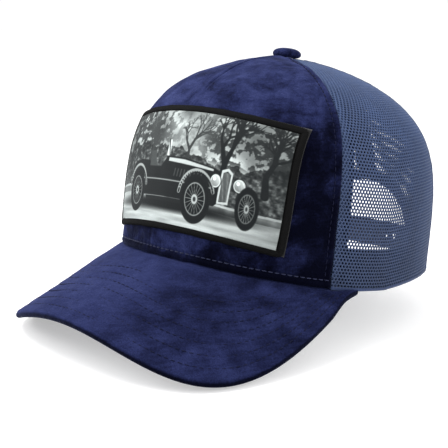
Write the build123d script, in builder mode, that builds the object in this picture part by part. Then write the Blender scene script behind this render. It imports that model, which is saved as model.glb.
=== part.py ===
from build123d import *
from math import asin, cos, degrees, hypot, pi, radians, sin, tan, tanh
import os

os.makedirs("parts", exist_ok=True)

# ---------------------------------------------------------------------------
# Trucker mesh cap, shown as it sits on a head.  Millimetres and degrees.
# Row frame: origin at the middle of the head opening, +Z up, -Y to the front
# of the cap (the visor), +X to the wearer's left.  The crown's own axis leans
# back by wear_tilt, and every crown dimension below is taken along that axis.
# Angles round the crown: 0 is the middle of the front, +90 the left ear,
# 180 the middle of the back.
# ---------------------------------------------------------------------------

# crown form
wear_tilt = 7.8            # lean of the crown axis
half_width = 89.0          # rim, ear to middle
front_reach = 86.7         # rim, middle to forehead
back_reach = 94.6          # rim, middle to nape
plan_power_front = 1.99    # squareness of the rim's plan, front half
plan_power_back = 2.39     # and back half
crown_height = 123.1
rim_lift_front = 6.9       # the rim rises in front
rim_lift_back = 7.5        # and behind
rim_lift_quarter = 4.3
dome_k = (1.67, 1.30, 2.31)    # roundness of the dome: front, side, back
dome_m = (3.95, 5.78, 1.22)    # height of its shoulder: front, side, back
post_hole = 4.0            # radius left open at the top for the button's post

# panels
front_seam = 66.0          # velvet front panel to side mesh
side_seam = 125.0          # side mesh to rear mesh
panel_t = 1.2
backing_t = 0.6
tape_width = 16.0
tape_t = 0.6
tape_gap = 0.35
sweatband_height = 21.5
sweatband_t = 1.5

# rear opening and snap strap
arch_half_width = 42.0
arch_spring = 10.0         # height where the straight sides turn into the arch
binding_width = 6.0
binding_t = 0.7
strap_z = 9.0              # underside of the strap, along the crown axis
strap_width = 17.0
strap_t = 1.2
strap_root = 37.5          # x of the flexing root, each side
strap_tip = 22.0           # how far past the middle each strap reaches
root_gap = 0.5             # half of the cut between a strap and its sewn tab
tab_end = 55.0
sewn_depth = 2.9           # depth of the tabs and of the inner strap
snap_pitch = 8.8
snap_first = -15.5         # x of the hole nearest the tip
hole_r = 2.7
peg_r = 1.9

# visor
visor_reach = 60.2
visor_slope = 26.7
visor_curl = 0.0093        # curvature across the visor
visor_bulge = 1.6
visor_end = 77.8           # angle where the visor meets the rim
visor_side_pull = 76.3
visor_front_pull = 96.3
visor_side_angle = 8.7
cover_t = 1.1
board_t = 1.8

# button
button_r = 8.4
button_h = 5.4

# patch
patch_half = 58.8
patch_middle = 7.2           # the patch sits a little towards the wearer's left
patch_low, patch_high = 15.8, 82.7
patch_low_rise, patch_high_rise = 5.8, 6.2
patch_border_width = 3.8


# ---------------------------------------------------------------------------
# form of the crown
# ---------------------------------------------------------------------------
lean = radians(wear_tilt)


def cap(x, y, z):
    """Crown axes to row axes."""
    return (x, y * cos(lean) + z * sin(lean), -y * sin(lean) + z * cos(lean))


def plan_radius(a):
    reach = front_reach if cos(a) > 0 else back_reach
    n = plan_power_front if cos(a) > 0 else plan_power_back
    return (abs(sin(a) / half_width) ** n + abs(cos(a) / reach) ** n) ** (-1 / n)


def rim_height(a):
    c = cos(a)
    if c > 0:
        return rim_lift_front * c * c
    return rim_lift_back * c * c - rim_lift_quarter * sin(a) ** 2 * c * 2


def dome_powers(a):
    c = cos(a)
    front = max(0.0, c) ** 2
    back = 0.6 * tanh(max(0.0, -c) ** 2 / 0.6)
    side = 1 - front - back
    k = front * dome_k[0] + side * dome_k[1] + back * dome_k[2]
    m = front * dome_m[0] + side * dome_m[1] + back * dome_m[2]
    return k, m


def meridian(a, t):
    """Radius and height on the crown's outer face, t from 0 at the rim to 1."""
    k, m = dome_powers(a)
    z0 = rim_height(a)
    rho = max(0.0, 1 - max(0.0, t) ** m) ** (1 / k)
    return plan_radius(a) * rho, z0 + (crown_height - z0) * t


tables = {}


def table(a):
    """Length along the meridian against t, from the rim to the post hole."""
    key = round(a, 6)
    if key not in tables:
        ts = [1 - (1 - i / 1500) ** 2.2 for i in range(1501)]
        rows, length = [(0.0, 0.0)], 0.0
        r0, z0 = meridian(a, 0.0)
        for t in ts[1:]:
            r1, z1 = meridian(a, t)
            if r1 < post_hole:
                break
            length += hypot(r1 - r0, z1 - z0)
            rows.append((length, t))
            r0, z0 = r1, z1
        tables[key] = rows
    return tables[key]


def t_at(a, length):
    rows = table(a)
    if length >= rows[-1][0]:
        return rows[-1][1]
    low, high = 0, len(rows) - 1
    while high - low > 1:
        mid = (low + high) // 2
        if rows[mid][0] <= length:
            low = mid
        else:
            high = mid
    (l0, t0), (l1, t1) = rows[low], rows[high]
    return t0 + (t1 - t0) * (length - l0) / (l1 - l0)


def skin(deg, depth, start=0.0, stop=None, count=11):
    """Points down a meridian at one depth under the outer face."""
    a = radians(deg)
    if stop is None:
        stop = table(a)[-1][0]
    points = []
    for i in range(count):
        t = t_at(a, start + (stop - start) * i / (count - 1))
        ta, tb = max(0.0, t - 2e-4), t + 2e-4
        ra, za = meridian(a, ta)
        rb, zb = meridian(a, min(tb, 0.99999))
        size = hypot(rb - ra, zb - za)
        nr, nz = (zb - za) / size, -(rb - ra) / size
        if i == 0 and start == 0.0:
            nr, nz = 1.0, 0.0
        r, z = meridian(a, t)
        points.append((r - depth * nr, z - depth * nz))
    return points


def radial(deg):
    a = radians(deg)
    return Plane(origin=(0, 0, 0), x_dir=cap(sin(a), -cos(a), 0), z_dir=cap(-cos(a), -sin(a), 0))


def turns(first, last, steps):
    return [first + (last - first) * i / steps for i in range(steps + 1)]


behind = Plane(origin=(0, 0, 0), x_dir=cap(-1, 0, 0), z_dir=cap(0, 1, 0))
before = Plane(origin=(0, 0, 0), x_dir=cap(1, 0, 0), z_dir=cap(0, -1, 0))
level = Plane(origin=(0, 0, 0), x_dir=cap(1, 0, 0), z_dir=cap(0, 0, 1))


# ---------------------------------------------------------------------------
# crown panels: each is a closed shell, sewn edge to edge at the seams
# ---------------------------------------------------------------------------
with BuildPart() as front_panel:
    for deg in turns(-front_seam, front_seam, 12):
        with BuildSketch(radial(deg)):
            with BuildLine():
                outer = Spline(*skin(deg, 0))
                inner = Spline(*skin(deg, panel_t))
                Line(outer @ 0, inner @ 0)
                Line(outer @ 1, inner @ 1)
            make_face()
    loft()

with BuildPart() as front_backing:
    for deg in turns(-front_seam + 4, front_seam - 4, 12):
        with BuildSketch(radial(deg)):
            with BuildLine():
                outer = Spline(*skin(deg, panel_t + 0.1, 1.0))
                inner = Spline(*skin(deg, panel_t + 0.1 + backing_t, 1.0))
                Line(outer @ 0, inner @ 0)
                Line(outer @ 1, inner @ 1)
            make_face()
    loft()
    # it stops short of the seam tapes
    for deg in (-front_seam, front_seam):
        with BuildSketch(radial(deg)):
            Rectangle(400, 400)
    extrude(amount=tape_width / 2 + 0.3, both=True, mode=Mode.SUBTRACT)

with BuildPart() as side_mesh_left:
    for deg in turns(front_seam, side_seam, 6):
        with BuildSketch(radial(deg)):
            with BuildLine():
                outer = Spline(*skin(deg, 0))
                inner = Spline(*skin(deg, panel_t))
                Line(outer @ 0, inner @ 0)
                Line(outer @ 1, inner @ 1)
            make_face()
    loft()

with BuildPart() as side_mesh_right:
    add(side_mesh_left.part)
    mirror(about=Plane.YZ, mode=Mode.REPLACE)

# the rear panels are cut back by the arched opening over the strap
with BuildPart() as rear_mesh_left:
    for deg in turns(side_seam, 180, 6):
        with BuildSketch(radial(deg)):
            with BuildLine():
                outer = Spline(*skin(deg, 0))
                inner = Spline(*skin(deg, panel_t))
                Line(outer @ 0, inner @ 0)
                Line(outer @ 1, inner @ 1)
            make_face()
    loft()
    with BuildSketch(behind.offset(40)):
        with BuildLine():
            w = arch_half_width + 0.9
            Line((-w, -30), (w, -30))
            Line((w, -30), (w, arch_spring))
            ThreePointArc((w, arch_spring), (0, arch_spring + w), (-w, arch_spring))
            Line((-w, arch_spring), (-w, -30))
        make_face()
    extrude(amount=80, mode=Mode.SUBTRACT)

with BuildPart() as rear_mesh_right:
    add(rear_mesh_left.part)
    mirror(about=Plane.YZ, mode=Mode.REPLACE)

# ---------------------------------------------------------------------------
# tapes sewn over the seams on the inside
# ---------------------------------------------------------------------------
with BuildPart() as front_seam_tape_left:
    for deg in turns(front_seam - 20, front_seam + 20, 8):
        with BuildSketch(radial(deg)):
            with BuildLine():
                outer = Spline(*skin(deg, panel_t + tape_gap, 1.0))
                inner = Spline(*skin(deg, panel_t + tape_gap + tape_t, 1.0))
                Line(outer @ 0, inner @ 0)
                Line(outer @ 1, inner @ 1)
            make_face()
    loft()
    with BuildSketch(radial(front_seam)):
        Rectangle(400, 400)
    extrude(amount=tape_width / 2, both=True, mode=Mode.INTERSECT)

with BuildPart() as front_seam_tape_right:
    add(front_seam_tape_left.part)
    mirror(about=Plane.YZ, mode=Mode.REPLACE)

with BuildPart() as rear_seam_tape_left:
    for deg in turns(side_seam - 20, side_seam + 20, 8):
        with BuildSketch(radial(deg)):
            with BuildLine():
                outer = Spline(*skin(deg, panel_t + tape_gap, 1.0))
                inner = Spline(*skin(deg, panel_t + tape_gap + tape_t, 1.0))
                Line(outer @ 0, inner @ 0)
                Line(outer @ 1, inner @ 1)
            make_face()
    loft()
    with BuildSketch(radial(side_seam)):
        Rectangle(400, 400)
    extrude(amount=tape_width / 2, both=True, mode=Mode.INTERSECT)

with BuildPart() as rear_seam_tape_right:
    add(rear_seam_tape_left.part)
    mirror(about=Plane.YZ, mode=Mode.REPLACE)

with BuildPart() as centre_back_seam_tape:
    for deg in turns(160, 200, 8):
        with BuildSketch(radial(deg)):
            with BuildLine():
                outer = Spline(*skin(deg, panel_t + tape_gap, 1.0))
                inner = Spline(*skin(deg, panel_t + tape_gap + tape_t, 1.0))
                Line(outer @ 0, inner @ 0)
                Line(outer @ 1, inner @ 1)
            make_face()
    loft()
    with BuildSketch(radial(180)):
        Rectangle(400, 400)
    extrude(amount=tape_width / 2, both=True, mode=Mode.INTERSECT)
    with BuildSketch(behind.offset(40)):
        with BuildLine():
            w = arch_half_width + binding_width + 0.6
            Line((-w, -30), (w, -30))
            Line((w, -30), (w, arch_spring))
            ThreePointArc((w, arch_spring), (0, arch_spring + w), (-w, arch_spring))
            Line((-w, arch_spring), (-w, -30))
        make_face()
    extrude(amount=80, mode=Mode.SUBTRACT)

# ---------------------------------------------------------------------------
# sweatband, open behind where the strap's tabs are sewn in
# ---------------------------------------------------------------------------
band_d = panel_t + tape_gap + tape_t + 0.3
with BuildPart() as sweatband:
    for deg in turns(-150, 150, 24):
        with BuildSketch(radial(deg)):
            with BuildLine():
                outer = Spline(*skin(deg, band_d, 0.2, sweatband_height, 5))
                inner = Spline(*skin(deg, band_d + sweatband_t, 0.2, sweatband_height, 5))
                Line(outer @ 0, inner @ 0)
                Line(outer @ 1, inner @ 1)
            make_face()
    loft()
    with BuildSketch(behind.offset(20)):
        with BuildLine():
            w = tab_end + 1.5
            Line((-w, -30), (w, -30))
            Line((w, -30), (w, 60))
            Line((w, 60), (-w, 60))
            Line((-w, 60), (-w, -30))
        make_face()
    extrude(amount=100, mode=Mode.SUBTRACT)

# ---------------------------------------------------------------------------
# binding folded round the edge of the arch: a groove in it takes the mesh
# ---------------------------------------------------------------------------
with BuildPart() as binding_groove:
    for deg in turns(140, 220, 8):
        with BuildSketch(radial(deg)):
            with BuildLine():
                outer = Spline(*skin(deg, -0.1, 0.0, 85, 7))
                inner = Spline(*skin(deg, panel_t + 0.1, 0.0, 85, 7))
                Line(outer @ 0, inner @ 0)
                Line(outer @ 1, inner @ 1)
            make_face()
    loft()
    with BuildSketch(behind.offset(40)):
        with BuildLine():
            w = arch_half_width + 0.8
            Line((-w, -30), (w, -30))
            Line((w, -30), (w, arch_spring))
            ThreePointArc((w, arch_spring), (0, arch_spring + w), (-w, arch_spring))
            Line((-w, arch_spring), (-w, -30))
        make_face()
    extrude(amount=80, mode=Mode.SUBTRACT)

with BuildPart() as rear_opening_binding:
    for deg in turns(142, 218, 8):
        with BuildSketch(radial(deg)):
            with BuildLine():
                outer = Spline(*skin(deg, -0.1 - binding_t, 0.4, 78, 7))
                inner = Spline(*skin(deg, panel_t + 0.1 + binding_t, 0.4, 78, 7))
                Line(outer @ 0, inner @ 0)
                Line(outer @ 1, inner @ 1)
            make_face()
    loft()
    with BuildSketch(behind.offset(40)):
        with BuildLine():
            w = arch_half_width + binding_width
            Line((-w, -30), (w, -30))
            Line((w, -30), (w, arch_spring))
            ThreePointArc((w, arch_spring), (0, arch_spring + w), (-w, arch_spring))
            Line((-w, arch_spring), (-w, -30))
        make_face()
        with BuildLine():
            w = arch_half_width
            Line((-w, -31), (w, -31))
            Line((w, -31), (w, arch_spring))
            ThreePointArc((w, arch_spring), (0, arch_spring + w), (-w, arch_spring))
            Line((-w, arch_spring), (-w, -31))
        make_face(mode=Mode.SUBTRACT)
    extrude(amount=80, mode=Mode.INTERSECT)
    add(binding_groove.part, mode=Mode.SUBTRACT)


# ---------------------------------------------------------------------------
# visor: board, velvet top cover wrapped round its edge, under cover
# ---------------------------------------------------------------------------
end = radians(visor_end)
end_r = plan_radius(end)
E = (end_r * sin(end), -end_r * cos(end))
T = (0.0, -(front_reach + visor_reach))
P1 = (T[0] + visor_front_pull, T[1])
P2 = (E[0] + visor_side_pull * sin(radians(visor_side_angle)),
      E[1] - visor_side_pull * cos(radians(visor_side_angle)))


def visor_section(u):
    """Inner and outer plan points of the section at u, with their heights."""
    t, side = abs(u), (1 if u >= 0 else -1)
    a = end * t
    r = plan_radius(a)
    inner = (r * sin(a), -r * cos(a))
    b = ((1 - t) ** 3, 3 * (1 - t) ** 2 * t, 3 * (1 - t) * t * t, t ** 3)
    outer = tuple(b[0] * T[i] + b[1] * P1[i] + b[2] * P2[i] + b[3] * E[i] for i in (0, 1))
    z_in = rim_height(a)
    z_out = rim_lift_front - tan(radians(visor_slope)) * (-outer[1] - front_reach) \
        - visor_curl * outer[0] ** 2 / 2
    w = min(1.0, max(0.0, (1 - t) / 0.12))
    w = w * w * (3 - 2 * w)
    z_out = z_out * w + z_in * (1 - w)
    return (side * inner[0], inner[1]), (side * outer[0], outer[1]), z_in, z_out, visor_bulge * w


def visor_plane(u):
    p, q = visor_section(u)[:2]
    d = hypot(q[0] - p[0], q[1] - p[1])
    x, y = (q[0] - p[0]) / d, (q[1] - p[1]) / d
    return Plane(origin=cap(p[0], p[1], 0), x_dir=cap(x, y, 0), z_dir=cap(y, -x, 0))


def visor_line(u, depth, start, stop_short, count=7):
    """Points along a section at one depth under the visor's top face."""
    p, q, z_in, z_out, bulge = visor_section(u)
    span = hypot(q[0] - p[0], q[1] - p[1])
    points = []
    for i in range(count):
        s = start + (span - stop_short - start) * i / (count - 1)
        f = s / span
        z = z_in + (z_out - z_in) * f + bulge * 4 * f * (1 - f)
        slope = ((z_out - z_in) + bulge * 4 * (1 - 2 * f)) / span
        size = hypot(1, slope)
        # under the crown's edge the visor lies level
        if s < 0:
            z, slope, size = z_in, 0.0, 1.0
        points.append((s + depth * slope / size, z - 0.3 - depth / size))
    return points


visor_steps = [-0.955, -0.9, -0.82, -0.7, -0.55, -0.37, -0.18, 0, 0.18, 0.37, 0.55, 0.7, 0.82, 0.9, 0.955]
visor_t = 2 * cover_t + board_t + 0.3

with BuildPart() as visor_board:
    for u in visor_steps:
        with BuildSketch(visor_plane(u)):
            with BuildLine():
                top = Spline(*visor_line(u, cover_t + 0.15, -1.5, 1.4, 9))
                low = Spline(*visor_line(u, cover_t + 0.15 + board_t, -1.5, 1.4, 9))
                Line(top @ 0, low @ 0)
                Line(top @ 1, low @ 1)
            make_face()
    loft()

with BuildPart() as visor_top_cover:
    for u in visor_steps:
        with BuildSketch(visor_plane(u)):
            with BuildLine():
                top = Spline(*visor_line(u, 0, -1.5, 0, 9))
                low = Spline(*visor_line(u, cover_t, -1.5, 1.1, 9))
                foot = visor_line(u, visor_t, -1.5, 0)[-1]
                heel = visor_line(u, visor_t, -1.5, 1.1)[-1]
                Line(top @ 0, low @ 0)
                Line(top @ 1, foot)
                Line(foot, heel)
                Line(heel, low @ 1)
            make_face()
    loft()

with BuildPart() as visor_under_cover:
    for u in visor_steps:
        with BuildSketch(visor_plane(u)):
            with BuildLine():
                top = Spline(*visor_line(u, cover_t + 0.3 + board_t, -1.5, 1.3, 9))
                low = Spline(*visor_line(u, visor_t, -1.5, 1.3, 9))
                Line(top @ 0, low @ 0)
                Line(top @ 1, low @ 1)
            make_face()
    loft()

# ---------------------------------------------------------------------------
# button: covered disc, its core, the rivet through the crown and its washer
# ---------------------------------------------------------------------------
top_z = crown_height - 0.1
upright = Plane(origin=cap(0, 0, top_z), x_dir=cap(1, 0, 0), z_dir=cap(0, -1, 0))
pole = Axis(cap(0, 0, 0), cap(0, 0, 1))

with BuildPart() as button_cover:
    with BuildSketch(upright):
        with BuildLine():
            Spline((0, button_h), (4.5, button_h - 0.2), (7.4, 4.0), (button_r, 2.3), (7.7, 0.6), (5.6, 0))
            Line((5.6, 0), (5.6, 0.8))
            Spline((5.6, 0.8), (7.1, 1.3), (7.55, 2.3), (6.8, 3.45), (4.3, 4.4), (0, button_h - 0.8))
            Line((0, button_h - 0.8), (0, button_h))
        make_face()
    revolve(axis=pole)

with BuildPart() as button_core:
    with BuildSketch(upright):
        with BuildLine():
            Spline((0, 4.5), (4.2, 4.28), (6.6, 3.38), (7.4, 2.3), (6.95, 1.45), (5.4, 1.0))
            Polyline((5.4, 1.0), (5.4, 0.1), (1.7, 0.1), (1.7, 3.5), (0, 3.5), (0, 4.5))
        make_face()
    revolve(axis=pole)

with BuildPart() as button_rivet:
    with BuildSketch(upright):
        with BuildLine():
            Polyline((0, 3.4), (1.6, 3.4), (1.6, -4.4), (3.2, -4.4), (2.9, -5.1), (0, -5.1), (0, 3.4))
        make_face()
    revolve(axis=pole)

with BuildPart() as button_washer:
    with BuildSketch(upright):
        with BuildLine():
            Polyline((1.8, -3.3), (7.4, -3.3), (7.6, -3.6), (7.4, -4.2), (1.8, -4.2), (1.8, -3.3))
        make_face()
    revolve(axis=pole)


# ---------------------------------------------------------------------------
# patch on the front panel
# ---------------------------------------------------------------------------
def patch_edge(inset):
    w, lo, hi = patch_half - inset, patch_low + inset, patch_high - inset
    return w, lo, hi, lo + patch_low_rise, hi + patch_high_rise


with BuildPart() as patch_backing:
    for deg in turns(-62, 62, 12):
        with BuildSketch(radial(deg)):
            with BuildLine():
                outer = Spline(*skin(deg, -0.6, 4, 105, 9))
                inner = Spline(*skin(deg, -0.1, 4, 105, 9))
                Line(outer @ 0, inner @ 0)
                Line(outer @ 1, inner @ 1)
            make_face()
    loft()
    with BuildSketch(before.offset(20)):
        with BuildLine():
            w, lo, hi, lo_mid, hi_mid = patch_edge(0)
            c = patch_middle
            ThreePointArc((c - w, lo), (c, lo_mid), (c + w, lo))
            Line((c + w, lo), (c + w, hi))
            ThreePointArc((c + w, hi), (c, hi_mid), (c - w, hi))
            Line((c - w, hi), (c - w, lo))
        make_face()
    extrude(amount=90, mode=Mode.INTERSECT)

with BuildPart() as patch_print:
    for deg in turns(-62, 62, 12):
        with BuildSketch(radial(deg)):
            with BuildLine():
                outer = Spline(*skin(deg, -1.1, 4, 105, 9))
                inner = Spline(*skin(deg, -0.7, 4, 105, 9))
                Line(outer @ 0, inner @ 0)
                Line(outer @ 1, inner @ 1)
            make_face()
    loft()
    with BuildSketch(before.offset(20)):
        with BuildLine():
            w, lo, hi, lo_mid, hi_mid = patch_edge(patch_border_width + 0.1)
            c = patch_middle
            ThreePointArc((c - w, lo), (c, lo_mid), (c + w, lo))
            Line((c + w, lo), (c + w, hi))
            ThreePointArc((c + w, hi), (c, hi_mid), (c - w, hi))
            Line((c - w, hi), (c - w, lo))
        make_face()
    extrude(amount=90, mode=Mode.INTERSECT)

with BuildPart() as patch_border:
    for deg in turns(-62, 62, 12):
        with BuildSketch(radial(deg)):
            with BuildLine():
                outer = Spline(*skin(deg, -2.0, 4, 105, 9))
                inner = Spline(*skin(deg, -0.7, 4, 105, 9))
                Line(outer @ 0, inner @ 0)
                Line(outer @ 1, inner @ 1)
            make_face()
    loft()
    with BuildSketch(before.offset(20)):
        with BuildLine():
            w, lo, hi, lo_mid, hi_mid = patch_edge(0)
            c = patch_middle
            ThreePointArc((c - w, lo), (c, lo_mid), (c + w, lo))
            Line((c + w, lo), (c + w, hi))
            ThreePointArc((c + w, hi), (c, hi_mid), (c - w, hi))
            Line((c - w, hi), (c - w, lo))
        make_face()
        with BuildLine():
            w, lo, hi, lo_mid, hi_mid = patch_edge(patch_border_width)
            c = patch_middle
            ThreePointArc((c - w, lo), (c, lo_mid), (c + w, lo))
            Line((c + w, lo), (c + w, hi))
            ThreePointArc((c + w, hi), (c, hi_mid), (c - w, hi))
            Line((c - w, hi), (c - w, lo))
        make_face(mode=Mode.SUBTRACT)
    extrude(amount=90, mode=Mode.INTERSECT)


# ---------------------------------------------------------------------------
# snap strap: a strap with holes from the left, a strap with pegs from the
# right, each moulded in one with a tab that is sewn inside the rim
# ---------------------------------------------------------------------------
def back_angle(x):
    a = pi - asin(max(-1.0, min(1.0, x / back_reach)))
    for _ in range(40):
        a = 0.5 * a + 0.5 * (pi - asin(max(-0.999, min(0.999, x / plan_radius(a)))))
    return a


def strap_frame(x, depth):
    """Point and outward normal of the strap's line at x, in the level plane."""
    a = back_angle(x)
    pa, pb = [(plan_radius(v) * sin(v), -plan_radius(v) * cos(v)) for v in (a - 0.002, a + 0.002)]
    tx, ty = pb[0] - pa[0], pb[1] - pa[1]
    size = hypot(tx, ty)
    nx, ny = ty / size, -tx / size
    r = plan_radius(a)
    px, py = r * sin(a), -r * cos(a)
    if nx * px + ny * py < 0:
        nx, ny = -nx, -ny
    return (px - depth * nx, py - depth * ny), (nx, ny)


def strap_depth(x, outer_strap):
    """Depth of the strap's middle: the outer strap rises over the inner one."""
    sewn = sewn_depth
    if not outer_strap:
        return sewn
    f = min(1.0, max(0.0, (strap_root - x) / 15.0))
    f = f * f * (3 - 2 * f)
    return sewn + (1.2 - sewn) * f


def strap_side(x0, x1, shift, outer_strap, count=11):
    out = []
    for i in range(count):
        x = x0 + (x1 - x0) * i / (count - 1)
        out.append(strap_frame(x, strap_depth(x, outer_strap) + shift)[0])
    return out


mid_z = strap_z + strap_width / 2

with BuildPart() as strap_holes:
    with BuildSketch(level.offset(strap_z)):
        with BuildLine():
            outer = Spline(*strap_side(strap_root - root_gap, -strap_tip, -strap_t / 2, True))
            inner = Spline(*strap_side(strap_root - root_gap, -strap_tip, strap_t / 2, True))
            Line(outer @ 0, inner @ 0)
            Line(outer @ 1, inner @ 1)
        make_face()
    extrude(amount=strap_width)
    with BuildSketch(behind.offset(40)):
        with BuildLine():
            # seen from behind the left strap's root is at -x of this sketch
            h = strap_width / 2
            Polyline((strap_tip - h, strap_z), (-60, strap_z), (-60, strap_z + strap_width),
                     (strap_tip - h, strap_z + strap_width))
            ThreePointArc((strap_tip - h, strap_z + strap_width), (strap_tip, mid_z), (strap_tip - h, strap_z))
        make_face()
    extrude(amount=80, mode=Mode.INTERSECT)
    for i in range(6):
        x = snap_first + i * snap_pitch
        p, n = strap_frame(x, strap_depth(x, True))
        with Locations(Plane(origin=cap(p[0], p[1], mid_z), x_dir=cap(0, 0, 1), z_dir=cap(n[0], n[1], 0)).location):
            Cylinder(hole_r, 8, mode=Mode.SUBTRACT)

with BuildPart() as strap_pegs:
    with BuildSketch(level.offset(strap_z)):
        with BuildLine():
            outer = Spline(*strap_side(-strap_root + root_gap, strap_tip, -strap_t / 2, False))
            inner = Spline(*strap_side(-strap_root + root_gap, strap_tip, strap_t / 2, False))
            Line(outer @ 0, inner @ 0)
            Line(outer @ 1, inner @ 1)
        make_face()
    extrude(amount=strap_width)
    with BuildSketch(behind.offset(40)):
        with BuildLine():
            h = strap_width / 2
            Polyline((-strap_tip + h, strap_z), (60, strap_z), (60, strap_z + strap_width),
                     (-strap_tip + h, strap_z + strap_width))
            ThreePointArc((-strap_tip + h, strap_z + strap_width), (-strap_tip, mid_z), (-strap_tip + h, strap_z))
        make_face()
    extrude(amount=80, mode=Mode.INTERSECT)
    for i in range(6):
        x = snap_first + (3 - i) * snap_pitch
        p, n = strap_frame(x, sewn_depth)
        with Locations(Plane(origin=cap(p[0], p[1], mid_z), x_dir=cap(0, 0, 1), z_dir=cap(n[0], n[1], 0)).location):
            Cylinder(peg_r, 2.8, align=(Align.CENTER, Align.CENTER, Align.MIN))

with BuildPart() as strap_holes_tab:
    with BuildSketch(level.offset(strap_z)):
        with BuildLine():
            outer = Spline(*strap_side(strap_root + root_gap, tab_end, -strap_t / 2, True, 5))
            inner = Spline(*strap_side(strap_root + root_gap, tab_end, strap_t / 2, True, 5))
            Line(outer @ 0, inner @ 0)
            Line(outer @ 1, inner @ 1)
        make_face()
    extrude(amount=strap_width)

with BuildPart() as strap_pegs_tab:
    add(strap_holes_tab.part)
    mirror(about=Plane.YZ, mode=Mode.REPLACE)


# ---------------------------------------------------------------------------
front_panel.part.label = "front_panel"
export_step(front_panel.part, "parts/front_panel.step")
front_backing.part.label = "front_backing"
export_step(front_backing.part, "parts/front_backing.step")
side_mesh_left.part.label = "side_mesh_left"
export_step(side_mesh_left.part, "parts/side_mesh_left.step")
side_mesh_right.part.label = "side_mesh_right"
export_step(side_mesh_right.part, "parts/side_mesh_right.step")
rear_mesh_left.part.label = "rear_mesh_left"
export_step(rear_mesh_left.part, "parts/rear_mesh_left.step")
rear_mesh_right.part.label = "rear_mesh_right"
export_step(rear_mesh_right.part, "parts/rear_mesh_right.step")
front_seam_tape_left.part.label = "front_seam_tape_left"
export_step(front_seam_tape_left.part, "parts/front_seam_tape_left.step")
front_seam_tape_right.part.label = "front_seam_tape_right"
export_step(front_seam_tape_right.part, "parts/front_seam_tape_right.step")
rear_seam_tape_left.part.label = "rear_seam_tape_left"
export_step(rear_seam_tape_left.part, "parts/rear_seam_tape_left.step")
rear_seam_tape_right.part.label = "rear_seam_tape_right"
export_step(rear_seam_tape_right.part, "parts/rear_seam_tape_right.step")
centre_back_seam_tape.part.label = "centre_back_seam_tape"
export_step(centre_back_seam_tape.part, "parts/centre_back_seam_tape.step")
sweatband.part.label = "sweatband"
export_step(sweatband.part, "parts/sweatband.step")
rear_opening_binding.part.label = "rear_opening_binding"
export_step(rear_opening_binding.part, "parts/rear_opening_binding.step")
visor_board.part.label = "visor_board"
export_step(visor_board.part, "parts/visor_board.step")
visor_top_cover.part.label = "visor_top_cover"
export_step(visor_top_cover.part, "parts/visor_top_cover.step")
visor_under_cover.part.label = "visor_under_cover"
export_step(visor_under_cover.part, "parts/visor_under_cover.step")
button_cover.part.label = "button_cover"
export_step(button_cover.part, "parts/button_cover.step")
button_core.part.label = "button_core"
export_step(button_core.part, "parts/button_core.step")
button_rivet.part.label = "button_rivet"
export_step(button_rivet.part, "parts/button_rivet.step")
button_washer.part.label = "button_washer"
export_step(button_washer.part, "parts/button_washer.step")
patch_backing.part.label = "patch_backing"
export_step(patch_backing.part, "parts/patch_backing.step")
patch_print.part.label = "patch_print"
export_step(patch_print.part, "parts/patch_print.step")
patch_border.part.label = "patch_border"
export_step(patch_border.part, "parts/patch_border.step")
strap_holes.part.label = "strap_holes"
export_step(strap_holes.part, "parts/strap_holes.step")
strap_holes_tab.part.label = "strap_holes_tab"
export_step(strap_holes_tab.part, "parts/strap_holes_tab.step")
strap_pegs.part.label = "strap_pegs"
export_step(strap_pegs.part, "parts/strap_pegs.step")
strap_pegs_tab.part.label = "strap_pegs_tab"
export_step(strap_pegs_tab.part, "parts/strap_pegs_tab.step")

p, n = strap_frame(strap_root, sewn_depth)
print("strap axis through", cap(p[0], p[1], mid_z), "along", cap(0, 0, 1))
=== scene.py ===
import math
import bpy
import numpy as np
from mathutils import Matrix, Vector

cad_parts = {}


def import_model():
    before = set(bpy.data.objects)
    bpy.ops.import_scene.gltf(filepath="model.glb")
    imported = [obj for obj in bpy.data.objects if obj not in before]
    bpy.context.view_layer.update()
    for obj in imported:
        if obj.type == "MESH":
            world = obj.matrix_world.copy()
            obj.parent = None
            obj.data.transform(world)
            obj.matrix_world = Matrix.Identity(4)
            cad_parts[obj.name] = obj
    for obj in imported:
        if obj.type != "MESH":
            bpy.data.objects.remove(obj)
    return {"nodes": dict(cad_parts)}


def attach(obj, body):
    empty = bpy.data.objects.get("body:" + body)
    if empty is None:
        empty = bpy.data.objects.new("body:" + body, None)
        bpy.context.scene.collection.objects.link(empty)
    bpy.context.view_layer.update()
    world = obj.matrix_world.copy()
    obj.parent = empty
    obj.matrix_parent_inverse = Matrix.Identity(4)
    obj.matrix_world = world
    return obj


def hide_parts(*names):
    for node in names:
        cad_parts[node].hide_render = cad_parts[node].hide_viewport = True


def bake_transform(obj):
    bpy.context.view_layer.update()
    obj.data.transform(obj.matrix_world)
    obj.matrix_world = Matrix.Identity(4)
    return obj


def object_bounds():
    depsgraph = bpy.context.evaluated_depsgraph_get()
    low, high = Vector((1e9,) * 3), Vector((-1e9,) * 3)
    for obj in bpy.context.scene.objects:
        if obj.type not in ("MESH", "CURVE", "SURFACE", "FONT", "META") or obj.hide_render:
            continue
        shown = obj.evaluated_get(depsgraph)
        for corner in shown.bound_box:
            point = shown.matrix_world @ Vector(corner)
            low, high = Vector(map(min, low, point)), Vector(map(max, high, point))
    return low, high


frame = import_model()
cad_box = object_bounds()

# ---------------------------------------------------------------------------
# camera first
# ---------------------------------------------------------------------------
rad = math.radians


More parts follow.
